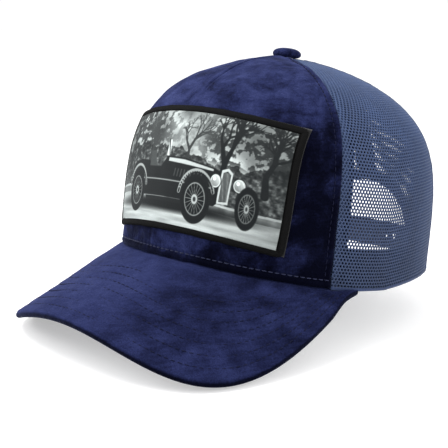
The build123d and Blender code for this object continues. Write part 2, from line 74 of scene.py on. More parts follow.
def make_camera():
    az, el, ro = rad(46.1958), rad(12.1465), rad(-0.1933)
    back = Vector((math.sin(az) * math.cos(el), -math.cos(az) * math.cos(el), math.sin(el)))
    right = Vector((math.cos(az), math.sin(az), 0))
    up = back.cross(right)
    r2 = right * math.cos(ro) + up * math.sin(ro)
    u2 = up * math.cos(ro) - right * math.sin(ro)
    data = bpy.data.cameras.new("camera")
    data.sensor_width = 36
    data.lens = 953.525 * 36 / 448
    data.clip_start = 0.01
    cam = bpy.data.objects.new("camera", data)
    m = Matrix((r2, u2, back)).transposed().to_4x4()
    m.translation = Vector((0.389986, -0.409395, 0.144655))
    cam.matrix_world = m
    bpy.context.scene.collection.objects.link(cam)
    bpy.context.scene.camera = cam


make_camera()

# ---------------------------------------------------------------------------
# the crown's form, as in the CAD model (millimetres, crown axes)
# ---------------------------------------------------------------------------
LEAN = rad(7.8)
HALF_W, REACH_F, REACH_B = 89.0, 86.7, 94.6
POW_F, POW_B = 1.99, 2.39
HEIGHT = 123.1
LIFT_F, LIFT_B, LIFT_Q = 6.9, 7.5, 4.3
DOME_K, DOME_M = (1.67, 1.30, 2.31), (3.95, 5.78, 1.22)
POST = 4.0
FRONT_SEAM, SIDE_SEAM = 66.0, 125.0
MM = 0.001


def world(x, y, z):
    x, y, z = np.broadcast_arrays(np.asarray(x, float), np.asarray(y, float), np.asarray(z, float))
    return np.stack([x, y * math.cos(LEAN) + z * math.sin(LEAN), -y * math.sin(LEAN) + z * math.cos(LEAN)], -1) * MM


def plan_radius(a):
    c, s = np.cos(a), np.sin(a)
    reach = np.where(c > 0, REACH_F, REACH_B)
    n = np.where(c > 0, POW_F, POW_B)
    return (np.abs(s / HALF_W) ** n + np.abs(c / reach) ** n) ** (-1 / n)


def rim_height(a):
    c, s = np.cos(a), np.sin(a)
    return np.where(c > 0, LIFT_F * c * c, LIFT_B * c * c - LIFT_Q * s * s * c * 2)


def dome_powers(a):
    c = np.cos(a)
    f = np.maximum(0, c) ** 2
    b = 0.6 * np.tanh(np.maximum(0, -c) ** 2 / 0.6)
    s = 1 - f - b
    return f * DOME_K[0] + s * DOME_K[1] + b * DOME_K[2], f * DOME_M[0] + s * DOME_M[1] + b * DOME_M[2]


N_PHI, N_S = 721, 301
PHI = np.linspace(-180, 180, N_PHI)
TR = np.zeros((N_PHI, N_S)); TZ = np.zeros((N_PHI, N_S))
TNR = np.zeros((N_PHI, N_S)); TNZ = np.zeros((N_PHI, N_S)); TL = np.zeros(N_PHI)


def fill_table():
    ts = 1 - (1 - np.arange(1501) / 1500) ** 2.2
    for i, d in enumerate(PHI):
        a = rad(d)
        k, m = dome_powers(a)
        z0 = float(rim_height(a)); r0 = float(plan_radius(a))
        rho = np.maximum(0, 1 - ts ** m) ** (1 / k)
        r = r0 * rho
        z = z0 + (HEIGHT - z0) * ts
        keep = r >= POST
        r, z = r[keep], z[keep]
        length = np.concatenate([[0], np.cumsum(np.hypot(np.diff(r), np.diff(z)))])
        u = np.linspace(0, length[-1], N_S)
        TR[i] = np.interp(u, length, r)
        TZ[i] = np.interp(u, length, z)
        TL[i] = length[-1]
        dr, dz = np.gradient(TR[i]), np.gradient(TZ[i])
        size = np.hypot(dr, dz)
        TNR[i], TNZ[i] = dz / size, -dr / size
        TNR[i, 0], TNZ[i, 0] = 1.0, 0.0


fill_table()


def top_length(phi):
    return np.interp((np.asarray(phi, float) + 180) % 360 - 180, PHI, TL)


def crown_rz(phi, s, out=0.0):
    phi, s, out = np.broadcast_arrays(np.asarray(phi, float), np.asarray(s, float), np.asarray(out, float))
    p = (phi + 180) % 360
    f = p / 360 * (N_PHI - 1)
    i = np.clip(np.floor(f).astype(int), 0, N_PHI - 2)
    a = f - i
    length = TL[i] * (1 - a) + TL[i + 1] * a
    g = np.clip(s / length, 0, 1) * (N_S - 1)
    j = np.clip(np.floor(g).astype(int), 0, N_S - 2)
    b = g - j

    def pick(T):
        return (T[i, j] * (1 - a) * (1 - b) + T[i + 1, j] * a * (1 - b) + T[i, j + 1] * (1 - a) * b + T[i + 1, j + 1] * a * b)
    r, z, nr, nz = pick(TR), pick(TZ), pick(TNR), pick(TNZ)
    z = z + np.minimum(s, 0)
    return r + out * nr, z + out * nz


def crown(phi, s, out=0.0):
    """World point on the crown: angle in degrees, length up from the rim and height off the outer face in mm."""
    r, z = crown_rz(phi, s, out)
    a = np.radians(phi)
    return world(r * np.sin(a), -r * np.cos(a), z)


def waves(P, size, seed, modes=28):
    """Smooth noise with unit spread, of that feature size in mm, at world points P (m)."""
    rng = np.random.default_rng(seed)
    d = rng.normal(size=(modes, 3))
    d /= np.linalg.norm(d, axis=1)[:, None]
    k = d * (2 * math.pi / size) * rng.uniform(0.55, 1.45, (modes, 1))
    ph = rng.uniform(0, 2 * math.pi, modes)
    Q = np.asarray(P).reshape(-1, 3) * 1000
    v = np.cos(Q @ k.T + ph).sum(1) * math.sqrt(2 / modes)
    return v.reshape(np.asarray(P).shape[:-1])


def smooth(x):
    x = np.clip(x, 0, 1)
    return x * x * (3 - 2 * x)


# ---------------------------------------------------------------------------
# mesh helpers
# ---------------------------------------------------------------------------
scene = bpy.context.scene


def add_object(name, V, F, mat, uv=None, smooth_shade=True, merge=None):
    V = np.asarray(V, float).reshape(-1, 3)
    me = bpy.data.meshes.new(name)
    if isinstance(F, np.ndarray) and F.ndim == 2:
        n, k = F.shape
        me.vertices.add(len(V)); me.vertices.foreach_set("co", V.ravel())
        me.loops.add(n * k); me.loops.foreach_set("vertex_index", F.astype(np.int32).ravel())
        me.polygons.add(n); me.polygons.foreach_set("loop_start", np.arange(0, n * k, k, dtype=np.int32))
        if uv is not None:
            layer = me.uv_layers.new(name="UVMap")
            layer.data.foreach_set("uv", np.asarray(uv, float).reshape(-1, 2)[F.ravel()].ravel())
    else:
        me.from_pydata([tuple(v) for v in V], [], [list(map(int, f)) for f in F])
        if uv is not None:
            layer = me.uv_layers.new(name="UVMap")
            idx = np.empty(len(me.loops), dtype=np.int32)
            me.loops.foreach_get("vertex_index", idx)
            layer.data.foreach_set("uv", np.asarray(uv, float).reshape(-1, 2)[idx].ravel())
    me.update(calc_edges=True)
    me.validate()
    me.polygons.foreach_set("use_smooth", np.full(len(me.polygons), smooth_shade, dtype=bool))
    me.materials.append(mat)
    ob = bpy.data.objects.new(name, me)
    scene.collection.objects.link(ob)
    return ob


def grid_faces(rows, cols, wrap_cols=False, wrap_rows=False, base=0):
    i = np.arange(rows if wrap_rows else rows - 1)
    j = np.arange(cols if wrap_cols else cols - 1)
    I, J = np.meshgrid(i, j, indexing="ij")
    I2, J2 = (I + 1) % rows, (J + 1) % cols
    return (np.stack([I * cols + J, I * cols + J2, I2 * cols + J2, I2 * cols + J], -1).reshape(-1, 4) + base)


def ring_sheet(name, P, mat, uv=None, closed_rows=False):
    """A closed skin from P[row, col]: cols go right round the section, rows along the piece, ends capped."""
    rows, cols = P.shape[:2]
    F = grid_faces(rows, cols, wrap_cols=True, wrap_rows=closed_rows)
    V = P.reshape(-1, 3)
    faces = F
    if not closed_rows:
        # cap each end with quads across the section (cols is even)
        caps = []
        h = cols // 2
        for r, flip in ((0, True), (rows - 1, False)):
            for j in range(h - 1):
                q = [r * cols + j, r * cols + j + 1, r * cols + cols - 2 - j, r * cols + cols - 1 - j]
                caps.append(q[::-1] if flip else q)
        faces = np.concatenate([F, np.array(caps)])
    return add_object(name, V, faces, mat, uv=None if uv is None else uv.reshape(-1, 2))


def fix_normals(ob):
    import bmesh
    bm = bmesh.new(); bm.from_mesh(ob.data)
    bmesh.ops.remove_doubles(bm, verts=bm.verts, dist=1e-6)
    bmesh.ops.dissolve_degenerate(bm, edges=bm.edges, dist=1e-7)
    bmesh.ops.recalc_face_normals(bm, faces=bm.faces)
    bm.to_mesh(ob.data); bm.free()
    ob.data.update()


def tube(path, radius, sides=8, close=False, up=None):
    """Vertices of a round tube along path (n,3); radius may vary."""
    P = np.asarray(path, float)
    n = len(P)
    if close:
        T = np.roll(P, -1, 0) - np.roll(P, 1, 0)
    else:
        T = np.gradient(P, axis=0)
    T /= np.linalg.norm(T, axis=1)[:, None] + 1e-12
    ref = np.array([0, 0, 1.0]) if up is None else np.asarray(up, float)
    ref = np.broadcast_to(ref, T.shape)
    A = np.cross(T, ref); A /= np.linalg.norm(A, axis=1)[:, None] + 1e-12
    B = np.cross(A, T)
    th = np.linspace(0, 2 * math.pi, sides, endpoint=False)
    R = np.broadcast_to(np.asarray(radius, float), (n,))
    V = P[:, None] + R[:, None, None] * (np.cos(th)[None, :, None] * A[:, None] + np.sin(th)[None, :, None] * B[:, None])
    return V


def stitches(name, pts, nrm, mat, length=2.4, gap=0.9, r=0.28, lift=0.05, arch=0.35, step=None):
    """Separate lock stitches laid along a line: pts and nrm are (n,3) world (m)."""
    pts = np.asarray(pts, float); nrm = np.asarray(nrm, float)
    seg = np.linalg.norm(np.diff(pts, axis=0), axis=1) * 1000
    cum = np.concatenate([[0], np.cumsum(seg)])
    total = cum[-1]
    count = max(1, int(total // (length + gap)))
    pitch = total / count
    K, S = 7, 6
    V_all, F_all = [], []
    th = np.linspace(0, 2 * math.pi, S, endpoint=False)
    rng = np.random.default_rng(len(pts) + count)
    for i in range(count):
        a = i * pitch + gap / 2
        u = a + np.linspace(0, pitch - gap, K) + rng.normal(0, 0.04)
        P = np.stack([np.interp(u, cum, pts[:, c]) for c in range(3)], -1)
        N = np.stack([np.interp(u, cum, nrm[:, c]) for c in range(3)], -1)
        N /= np.linalg.norm(N, axis=1)[:, None] + 1e-12
        f = np.linspace(0, 1, K)
        h = (lift + arch * np.sin(math.pi * f) ** 0.6 - 0.35 * (np.abs(2 * f - 1) ** 6)) * MM
        P = P + N * h[:, None]
        T = np.gradient(P, axis=0); T /= np.linalg.norm(T, axis=1)[:, None] + 1e-12
        A = np.cross(T, N); A /= np.linalg.norm(A, axis=1)[:, None] + 1e-12
        B = np.cross(A, T)
        rr = r * MM * np.array([0.45, 0.85, 1, 1, 1, 0.85, 0.45])
        V = P[:, None] + rr[:, None, None] * (np.cos(th)[None, :, None] * A[:, None] + np.sin(th)[None, :, None] * B[:, None])
        base = len(V_all) * K * S
        V_all.append(V.reshape(-1, 3))
        F = grid_faces(K, S, wrap_cols=True) + base
        ends = []
        for rr0, flip in ((0, True), (K - 1, False)):
            q = [base + rr0 * S + c for c in range(S)]
            e = [[q[0], q[1], q[2], q[3]], [q[0], q[3], q[4], q[5]]]
            ends += [x[::-1] if flip else x for x in e]
        F_all.append(F); F_all.append(np.array(ends))
    return add_object(name, np.concatenate(V_all), np.concatenate(F_all), mat)


# ---------------------------------------------------------------------------
# materials
# ---------------------------------------------------------------------------
class Mat:
    def __init__(self, name):
        self.m = bpy.data.materials.new(name)
        self.m.use_nodes = True
        self.t = self.m.node_tree
        self.t.nodes.clear()
        self.out = self.t.nodes.new("ShaderNodeOutputMaterial")
        self.b = self.t.nodes.new("ShaderNodeBsdfPrincipled")
        self.t.links.new(self.b.outputs[0], self.out.inputs[0])
        self.tc = self.t.nodes.new("ShaderNodeTexCoord")

    def node(self, kind, **k):
        n = self.t.nodes.new(kind)
        for a, v in k.items():
            setattr(n, a, v)
        return n

    def link(self, a, b):
        self.t.links.new(a, b)

    def set(self, **k):
        for a, v in k.items():
            self.b.inputs[a.replace("_", " ")].default_value = v

    def coord(self, kind="Object", scale=(1, 1, 1), rot=(0, 0, 0)):
        mp = self.node("ShaderNodeMapping")
        mp.inputs["Scale"].default_value = scale
        mp.inputs["Rotation"].default_value = rot
        self.link(self.tc.outputs[kind], mp.inputs["Vector"])
        return mp.outputs[0]

    def noise(self, vec, scale, detail=2.0, rough=0.5, distort=0.0):
        n = self.node("ShaderNodeTexNoise")
        n.inputs["Scale"].default_value = scale
        n.inputs["Detail"].default_value = detail
        n.inputs["Roughness"].default_value = rough
        n.inputs["Distortion"].default_value = distort
        self.link(vec, n.inputs["Vector"])
        return n.outputs[0]

    def ramp(self, fac, stops, interp="LINEAR"):
        n = self.node("ShaderNodeValToRGB")
        n.color_ramp.interpolation = interp
        while len(n.color_ramp.elements) < len(stops):
            n.color_ramp.elements.new(0.5)
        for e, (p, c) in zip(n.color_ramp.elements, stops):
            e.position = p
            e.color = (*c, 1) if len(c) == 3 else (c[0], c[0], c[0], 1)
        self.link(fac, n.inputs[0])
        return n.outputs[0]

    def mix(self, fac, a, b, kind="MIX"):
        n = self.node("ShaderNodeMix", data_type="RGBA", blend_type=kind)
        for sock, v in ((n.inputs[0], fac), (n.inputs[6], a), (n.inputs[7], b)):
            if isinstance(v, (int, float)):
                sock.default_value = v
            elif isinstance(v, tuple):
                sock.default_value = (*v, 1)
            else:
                self.link(v, sock)
        return n.outputs[2]

    def math(self, op, a, b=0.0, c=0.0):
        n = self.node("ShaderNodeMath", operation=op)
        for sock, v in zip(n.inputs, (a, b, c)):
            if isinstance(v, (int, float)):
                sock.default_value = v
            else:
                self.link(v, sock)
        return n.outputs[0]

    def bump(self, height, strength, distance, prev=None):
        n = self.node("ShaderNodeBump")
        n.inputs["Strength"].default_value = strength
        n.inputs["Distance"].default_value = distance
        self.link(height, n.inputs["Height"])
        if prev is not None:
            self.link(prev, n.inputs["Normal"])
        return n.outputs[0]

    def sep(self, vec):
        n = self.node("ShaderNodeSeparateXYZ")
        self.link(vec, n.inputs[0])
        return n.outputs

    def done(self):
        return self.m


def velvet(name, patch=42.0, painted_light_bias=0.0, lift=0.5, nap_and_shade=True, level=1.0, depth=1.0):
    """Crushed velvet: the pile lies in patches, dark where it is pressed away and blue where it stands. A per-vertex
    attribute adds painted shade and painted light to these patches, and a tone lift gives some copies painted light.
    """
    M = Mat(name)
    co = M.coord()
    big = M.noise(co, patch, 4.0, 0.60, 1.3)
    mid_n = M.noise(co, patch * 3.2, 4.0, 0.62, 1.0)
    fine = M.noise(co, 1000, 3.0, 0.7)
    fibre = M.noise(M.coord(scale=(1, 1, 0.35)), 2600, 2.0, 0.6)
    streak = M.noise(M.coord(scale=(1, 0.45, 6), rot=(0.1, 0.0, 0.5)), 150, 3.0, 0.6)
    f = M.math("ADD", M.math("MULTIPLY", big, 0.95 * depth), M.math("MULTIPLY", mid_n, 0.50 * depth))
    f = M.math("ADD", f, M.math("MULTIPLY", fine, 0.36))
    f = M.math("ADD", f, M.math("MULTIPLY", streak, 0.30))
    # This lift of the whole tone is painted light for the visor and button copies of the velvet.
    f = M.math("ADD", f, painted_light_bias - 0.60 + 0.725 * (1 - depth))
    # The per-vertex attribute read here carries painted shade and painted light, mixed with random pile patches.
    if nap_and_shade:
        at = M.node("ShaderNodeAttribute", attribute_type="GEOMETRY", attribute_name="nap_and_shade")
        f = M.math("ADD", f, at.outputs["Fac"])
    k = level
    stops = [(0.05, (0.0009 * k, 0.0011 * k, 0.0050 * k)), (0.24, (0.0026 * k, 0.0033 * k, 0.0130 * k)), (0.42, (0.0080 * k, 0.0104 * k, 0.0370 * k)),
             (0.58, (0.0145 * k, 0.0190 * k, 0.0640 * k)), (0.80, (0.0260 * k, 0.0330 * k, 0.0990 * k)), (1.00, (0.0400 * k, 0.0500 * k, 0.1350 * k))]
    col = M.ramp(f, stops)
    speck = M.ramp(fibre, [(0.30, (0.60,)), (0.72, (1.38,))])
    col = M.mix(1.0, col, speck, "MULTIPLY")
    M.link(col, M.b.inputs["Base Color"])
    M.set(Roughness=0.86)
    M.b.inputs["Specular IOR Level"].default_value = 0.02
    M.b.inputs["Sheen Weight"].default_value = 0.09
    M.b.inputs["Sheen Roughness"].default_value = 0.38
    M.b.inputs["Sheen Tint"].default_value = (0.34, 0.42, 0.95, 1)
    b1 = M.bump(mid_n, 0.55, 0.0016)
    b2 = M.bump(fine, 0.5, 0.0005, b1)
    b3 = M.bump(fibre, 0.5, 0.00025, b2)
    M.link(b3, M.b.inputs["Normal"])
    return M.done()


def paint_nap_and_shade(ob, values):
    # Stores painted shade and painted light, mixed with random pile patches, as a per-vertex attribute for the velvet.
    layer = ob.data.color_attributes.new("nap_and_shade", "FLOAT_COLOR", "POINT")
    c = np.ones((len(ob.data.vertices), 4)); c[:, :3] = np.asarray(values, float).reshape(-1, 1)
    layer.data.foreach_set("color", c.ravel())


def woven(name, base, dark, thread=0.45, twill=True, rough=0.85, sheen=0.25, strength=0.6, var=0.2, gloss=0.08):
    """Twill or plain weave driven by UVs in millimetres."""
    M = Mat(name)
    uv = M.tc.outputs["UV"]
    s = M.sep(uv)
    k = 2 * math.pi / thread
    a = M.math("SINE", M.math("MULTIPLY", s[0], k))
    b = M.math("SINE", M.math("MULTIPLY", s[1], k))
    if twill:
        d = M.math("SINE", M.math("MULTIPLY", M.math("ADD", s[0], s[1]), k / 2))
        h = M.math("ADD", M.math("MULTIPLY", d, 0.6), M.math("MULTIPLY", M.math("MULTIPLY", a, b), 0.4))
    else:
        h = M.math("MULTIPLY", a, b)
    h = M.math("MULTIPLY_ADD", h, 0.5, 0.5)
    co = M.coord()
    big = M.noise(co, 60, 3.0, 0.6)
    fine = M.noise(co, 2500, 2.0, 0.6)
    f = M.math("ADD", M.math("MULTIPLY", h, 0.55), M.math("MULTIPLY", fine, 0.45))
    col = M.ramp(f, [(0.15, dark), (0.85, base)])
    vary = M.ramp(big, [(0.25, (1 - var,)), (0.75, (1 + var * 0.6,))])
    col = M.mix(1.0, col, vary, "MULTIPLY")
    M.link(col, M.b.inputs["Base Color"])
    M.set(Roughness=rough)
    M.b.inputs["Specular IOR Level"].default_value = gloss
    M.b.inputs["Sheen Weight"].default_value = sheen
    M.b.inputs["Sheen Roughness"].default_value = 0.5
    M.link(M.bump(h, strength, 0.00018, M.bump(fine, 0.4, 0.00015)), M.b.inputs["Normal"])
    return M.done()


def net_material(name, base, dark):
    M = Mat(name)
    co = M.coord()
    fine = M.noise(M.coord(scale=(1, 1, 0.4)), 3200, 2.0, 0.6)
    big = M.noise(co, 55, 3.0, 0.6)
    col = M.ramp(fine, [(0.25, dark), (0.75, base)])
    vary = M.ramp(big, [(0.3, (0.86,)), (0.7, (1.12,))])
    col = M.mix(1.0, col, vary, "MULTIPLY")
    # painted shade: the net's colour is darkened towards the bottom of the crown and lifted towards its top.
    hz = M.sep(M.tc.outputs["Object"])[2]
    shade_by_height = M.ramp(M.math("MULTIPLY_ADD", hz, 8.0, 0.12), [(0.0, (0.66,)), (0.42, (0.80,)), (0.85, (1.12,))])
    col = M.mix(1.0, col, shade_by_height, "MULTIPLY")
    M.link(col, M.b.inputs["Base Color"])
    M.set(Roughness=0.55)
    M.b.inputs["Specular IOR Level"].default_value = 0.3
    M.b.inputs["Sheen Weight"].default_value = 0.10
    M.b.inputs["Sheen Roughness"].default_value = 0.4
    M.b.inputs["Sheen Tint"].default_value = (0.6, 0.7, 1.0, 1)
    M.link(M.bump(fine, 0.5, 0.00015), M.b.inputs["Normal"])
    return M.done()


def plastic(name, base, rough=0.38):
    M = Mat(name)
    co = M.coord()
    n = M.noise(co, 1400, 3.0, 0.6)
    w = M.noise(co, 160, 3.0, 0.6)
    col = M.ramp(w, [(0.3, tuple(c * 0.82 for c in base)), (0.7, tuple(c * 1.12 for c in base))])
    M.link(col, M.b.inputs["Base Color"])
    r = M.ramp(n, [(0.3, (rough - 0.06,)), (0.7, (rough + 0.1,))])
    M.link(r, M.b.inputs["Roughness"])
    M.link(M.bump(n, 0.15, 0.00012), M.b.inputs["Normal"])
    return M.done()


def metal(name):
    M = Mat(name)
    n = M.noise(M.coord(scale=(1, 1, 6)), 900, 3.0, 0.6)
    M.link(M.ramp(n, [(0.3, (0.42, 0.42, 0.43)), (0.7, (0.62, 0.62, 0.63))]), M.b.inputs["Base Color"])
    M.set(Metallic=1.0)
    M.link(M.ramp(n, [(0.3, (0.28,)), (0.7, (0.42,))]), M.b.inputs["Roughness"])
    M.link(M.bump(n, 0.2, 0.0001), M.b.inputs["Normal"])
    return M.done()


M_VELVET = velvet("velvet_crown")
# painted light: the visor's and the button's velvet get a lighter tone than the crown's.
M_VISOR = velvet("velvet_visor", patch=48.0, painted_light_bias=0.06, depth=0.30)
M_BUTTON = velvet("velvet_button", patch=120.0, painted_light_bias=0.02, nap_and_shade=False)
M_NET = net_material("net", (0.040, 0.071, 0.162), (0.018, 0.032, 0.082))
M_TAPE = woven("seam_tape", (0.0065, 0.0085, 0.030), (0.0025, 0.0032, 0.012), 0.55, True, 0.9, 0.05)
M_BAND = woven("sweatband_twill", (0.0070, 0.0090, 0.031), (0.0026, 0.0034, 0.013), 0.6, True, 0.9, 0.05)
M_BIND = woven("binding_cotton", (0.012, 0.016, 0.050), (0.0045, 0.006, 0.020), 0.45, False, 0.85, 0.08)
M_UNDER = woven("under_visor_cloth", (0.010, 0.012, 0.036), (0.004, 0.005, 0.015), 0.5, True, 0.85, 0.06)
M_BUCKRAM = woven("buckram", (0.62, 0.62, 0.60), (0.36, 0.36, 0.35), 1.1, False, 0.9, 0.1, 0.9)
M_THREAD = woven("thread", (0.028, 0.033, 0.074), (0.014, 0.017, 0.042), 0.3, True, 0.6, 0.05)
M_THREAD_DARK = woven("thread_dark", (0.0075, 0.0095, 0.032), (0.0032, 0.0040, 0.0150), 0.3, True, 0.8, 0.03)
M_MERROW = woven("merrow_thread", (0.0060, 0.0060, 0.0062), (0.0012, 0.0012, 0.0014), 0.35, True, 0.7, 0.0, 0.8, 0.2, 0.06)
M_PATCHCLOTH = woven("patch_twill", (0.014, 0.014, 0.015), (0.004, 0.004, 0.004), 0.4, True)
M_STRAP = plastic("strap_plastic", (0.008, 0.011, 0.042), 0.45)
M_BOARD = plastic("visor_board", (0.72, 0.72, 0.69), 0.5)
M_METAL = metal("button_metal")

TOP_MIN_OUT = 0.0

# ---------------------------------------------------------------------------
# velvet front panel
# ---------------------------------------------------------------------------
DART_PHI, DART_END = 1.0, 92.0
STITCH_S = 4.2


def edge_roll(d, w, depth):
    """Height lost near an edge: d is the distance to the edge in mm."""
    x = np.clip(d / w, 0, 1)
    return -depth * (1 - np.sqrt(np.clip(1 - (1 - x) ** 2, 0, 1)))


def front_out(phi, s):
    """Height of the velvet over the CAD face."""
    r = crown_rz(phi, s)[0]
    d_seam = (FRONT_SEAM - np.abs(phi)) * np.pi / 180 * r
    base = crown(phi, s)
    out = 0.55 + 0.28 * waves(base, 34, 3) + 0.10 * waves(base, 11, 4)
    # fullness between topstitch and seams
    out = out + 0.45 * np.exp(-((s - 2.0) / 1.1) ** 2) - 0.42 * np.exp(-((s - STITCH_S) / 0.55) ** 2)
    pucker = 0.16 * np.sin(phi * 2 * math.pi / 2.4 + 1.5 * np.sin(phi * 0.31)) * np.exp(-((s - STITCH_S - 1.5) / 2.4) ** 2)
    out = out + pucker
    out = out - 0.35 * np.exp(-((d_seam - 4.0) / 0.5) ** 2) + 0.22 * np.exp(-((d_seam - 2.0) / 1.0) ** 2)
    # sewn dart from the button
    dd = (phi - DART_PHI) * np.pi / 180 * r
    along = smooth((s - DART_END) / 26)
    out = out - 1.05 * along * np.exp(-(np.abs(dd) / 0.55) ** 1.3) + 0.42 * along * np.exp(-((np.abs(dd) - 1.8) / 1.5) ** 2)
    out = out + edge_roll(d_seam, 1.3, 1.25) + edge_roll(s + 0.4, 1.4, 1.3)
    top = top_length(phi)
    # drawn down under the button
    out = out - 0.55 * smooth((s - (top - 5)) / 4)
    return out


def make_front():
    a = np.concatenate([np.linspace(0, 0.09, 9)[:-1], np.linspace(0.09, 1, 62)]) if False else None
    edge = np.array([0, 0.12, 0.28, 0.48, 0.75, 1.1, 1.5, 2.0, 2.6])
    mid = np.arange(3.3, 2 * FRONT_SEAM - 3.2, 0.62)
    phi = np.concatenate([edge, mid, 2 * FRONT_SEAM - edge[::-1]]) - FRONT_SEAM
    dart = DART_PHI + np.array([-1.4, -1.0, -0.7, -0.45, -0.22, 0, 0.22, 0.45, 0.7, 1.0, 1.4])
    phi = np.unique(np.round(np.concatenate([phi[np.abs(phi - DART_PHI) > 1.7], dart]), 5))
    f = np.concatenate([np.array([-0.4, -0.2, 0.1, 0.5, 1.0, 1.5, 2.0, 2.5, 3.0, 3.4, 3.8, 4.2, 4.6, 5.0, 5.6, 6.3]), np.arange(7.2, 150, 1.05)])
    P, Q = np.meshgrid(phi, f, indexing="ij")
    top = top_length(P)
    s_low = Q
    # lengths above 100 mm are stretched to end at the post hole
    s = np.where(Q > 90, 90 + (Q - 90) * (top - 90) / (f[-1] - 90), s_low)
    out = front_out(P, s)
    outer = crown(P, s, out)
    inner = crown(P, np.maximum(s, 0.1), np.minimum(out, 0) * 0 - 1.15)
    inner = crown(np.clip(P, -FRONT_SEAM + 0.1, FRONT_SEAM - 0.1), np.maximum(s, 0.1), -1.15)
    n, m = P.shape
    V = np.concatenate([outer.reshape(-1, 3), inner.reshape(-1, 3)])
    Fo = grid_faces(n, m)
    Fi = grid_faces(n, m)[:, ::-1] + n * m
    walls = []
    idx = np.arange(n * m).reshape(n, m)
    for line in (idx[0], idx[-1][::-1], idx[:, 0][::-1], idx[:, -1]):
        a, b = line[:-1], line[1:]
        walls.append(np.stack([b, a, a + n * m, b + n * m], -1))
    F = np.concatenate([Fo, Fi] + walls)
    uv = np.stack([P * 1.5, s], -1).reshape(-1, 2)
    ob = add_object("front_panel_velvet", V, F, M_VELVET, uv=np.concatenate([uv, uv]))
    fix_normals(ob)
    W = np.array([v.co[:] for v in ob.data.vertices])
    ang = np.degrees(np.arctan2(W[:, 0], -(W[:, 1] * math.cos(LEAN) - W[:, 2] * math.sin(LEAN))))
    hgt = (W[:, 1] * math.sin(LEAN) + W[:, 2] * math.cos(LEAN)) * 1000
    # Painted shade and painted light in the velvet's tone: low on the right side and along the bottom it is darkened
    # (painted shade), on the left side it is lightened (painted light); the waves add random pile patches.
    low = 1 - smooth((hgt - 68) / 34)
    side = smooth((ang - 24) / 22)
    nap_and_shade = 0.10 - 0.46 * low * side - 0.16 * (1 - smooth((hgt - 9) / 22)) * (1 - side) + 0.05 * smooth((-ang - 6) / 20)
    nap_and_shade += 0.09 * waves(W, 34, 201) * low + 0.05 * waves(W, 13, 202)
    rim = np.where(np.cos(np.radians(ang)) > 0, LIFT_F * np.cos(np.radians(ang)) ** 2, 0)
    # painted shade: a dark band just above the rim, in the fold where the velvet meets the visor seam.
    nap_and_shade -= 0.30 * (1 - smooth((hgt - rim - 2.6) / 2.2))
    paint_nap_and_shade(ob, nap_and_shade)
    return ob


front = make_front()
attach(front, "crown"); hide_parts("front_panel")


def outward(phi, s):
    """World unit normals of the crown."""
    e = 0.6
    a = crown(phi + e, s) - crown(phi - e, s)
    b = crown(phi, s + e) - crown(phi, np.maximum(s - e, 0))
    n = np.cross(a, b)
    n /= np.linalg.norm(n, axis=-1)[..., None] + 1e-15
    c = crown(phi, s) - world(0, 0, 20)
    n *= np.sign((n * c).sum(-1))[..., None]
    return n


def crown_stitches(name, phi, s, out, mat, **k):
    P = crown(phi, s, out)
    N = outward(phi, s)
    return stitches(name, P, N, mat, **k)


# topstitch over the visor seam
phi_line = np.linspace(-FRONT_SEAM + 0.8, FRONT_SEAM - 0.8, 400)
ob = crown_stitches("visor_seam_topstitch", phi_line, np.full(400, STITCH_S), front_out(phi_line, np.full(400, STITCH_S)), M_THREAD, length=2.6, gap=0.8, r=0.30, lift=0.10)
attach(ob, "crown")
# topstitch down each side of the front panel
for side, tag in ((1, "left"), (-1, "right")):
    s_line = np.linspace(5.5, float(top_length(FRONT_SEAM)) - 9, 400)
    r_line = crown_rz(side * FRONT_SEAM, s_line)[0]
    p_line = side * (FRONT_SEAM - np.degrees(4.0 / r_line))
    ob = crown_stitches("front_edge_topstitch_" + tag, p_line, s_line, front_out(p_line, s_line), M_THREAD_DARK, length=2.6, gap=0.8, r=0.24, lift=0.05)
    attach(ob, "crown")


# ---------------------------------------------------------------------------
# mesh panels: a real net of six-sided holes
# ---------------------------------------------------------------------------
PITCH = 2.02
ROW = 1.75
HOLE = 0.61
NET_T = 0.85
ARCH_W, ARCH_Z = 42.0, 10.0


def in_arch(X, Z, grow=0.9):
    """True where a point (crown x and z, mm) is inside the arched opening."""
    w = ARCH_W + grow
    return (np.abs(X) < w) & ((Z < ARCH_Z) | (X ** 2 + (Z - ARCH_Z) ** 2 < w ** 2))


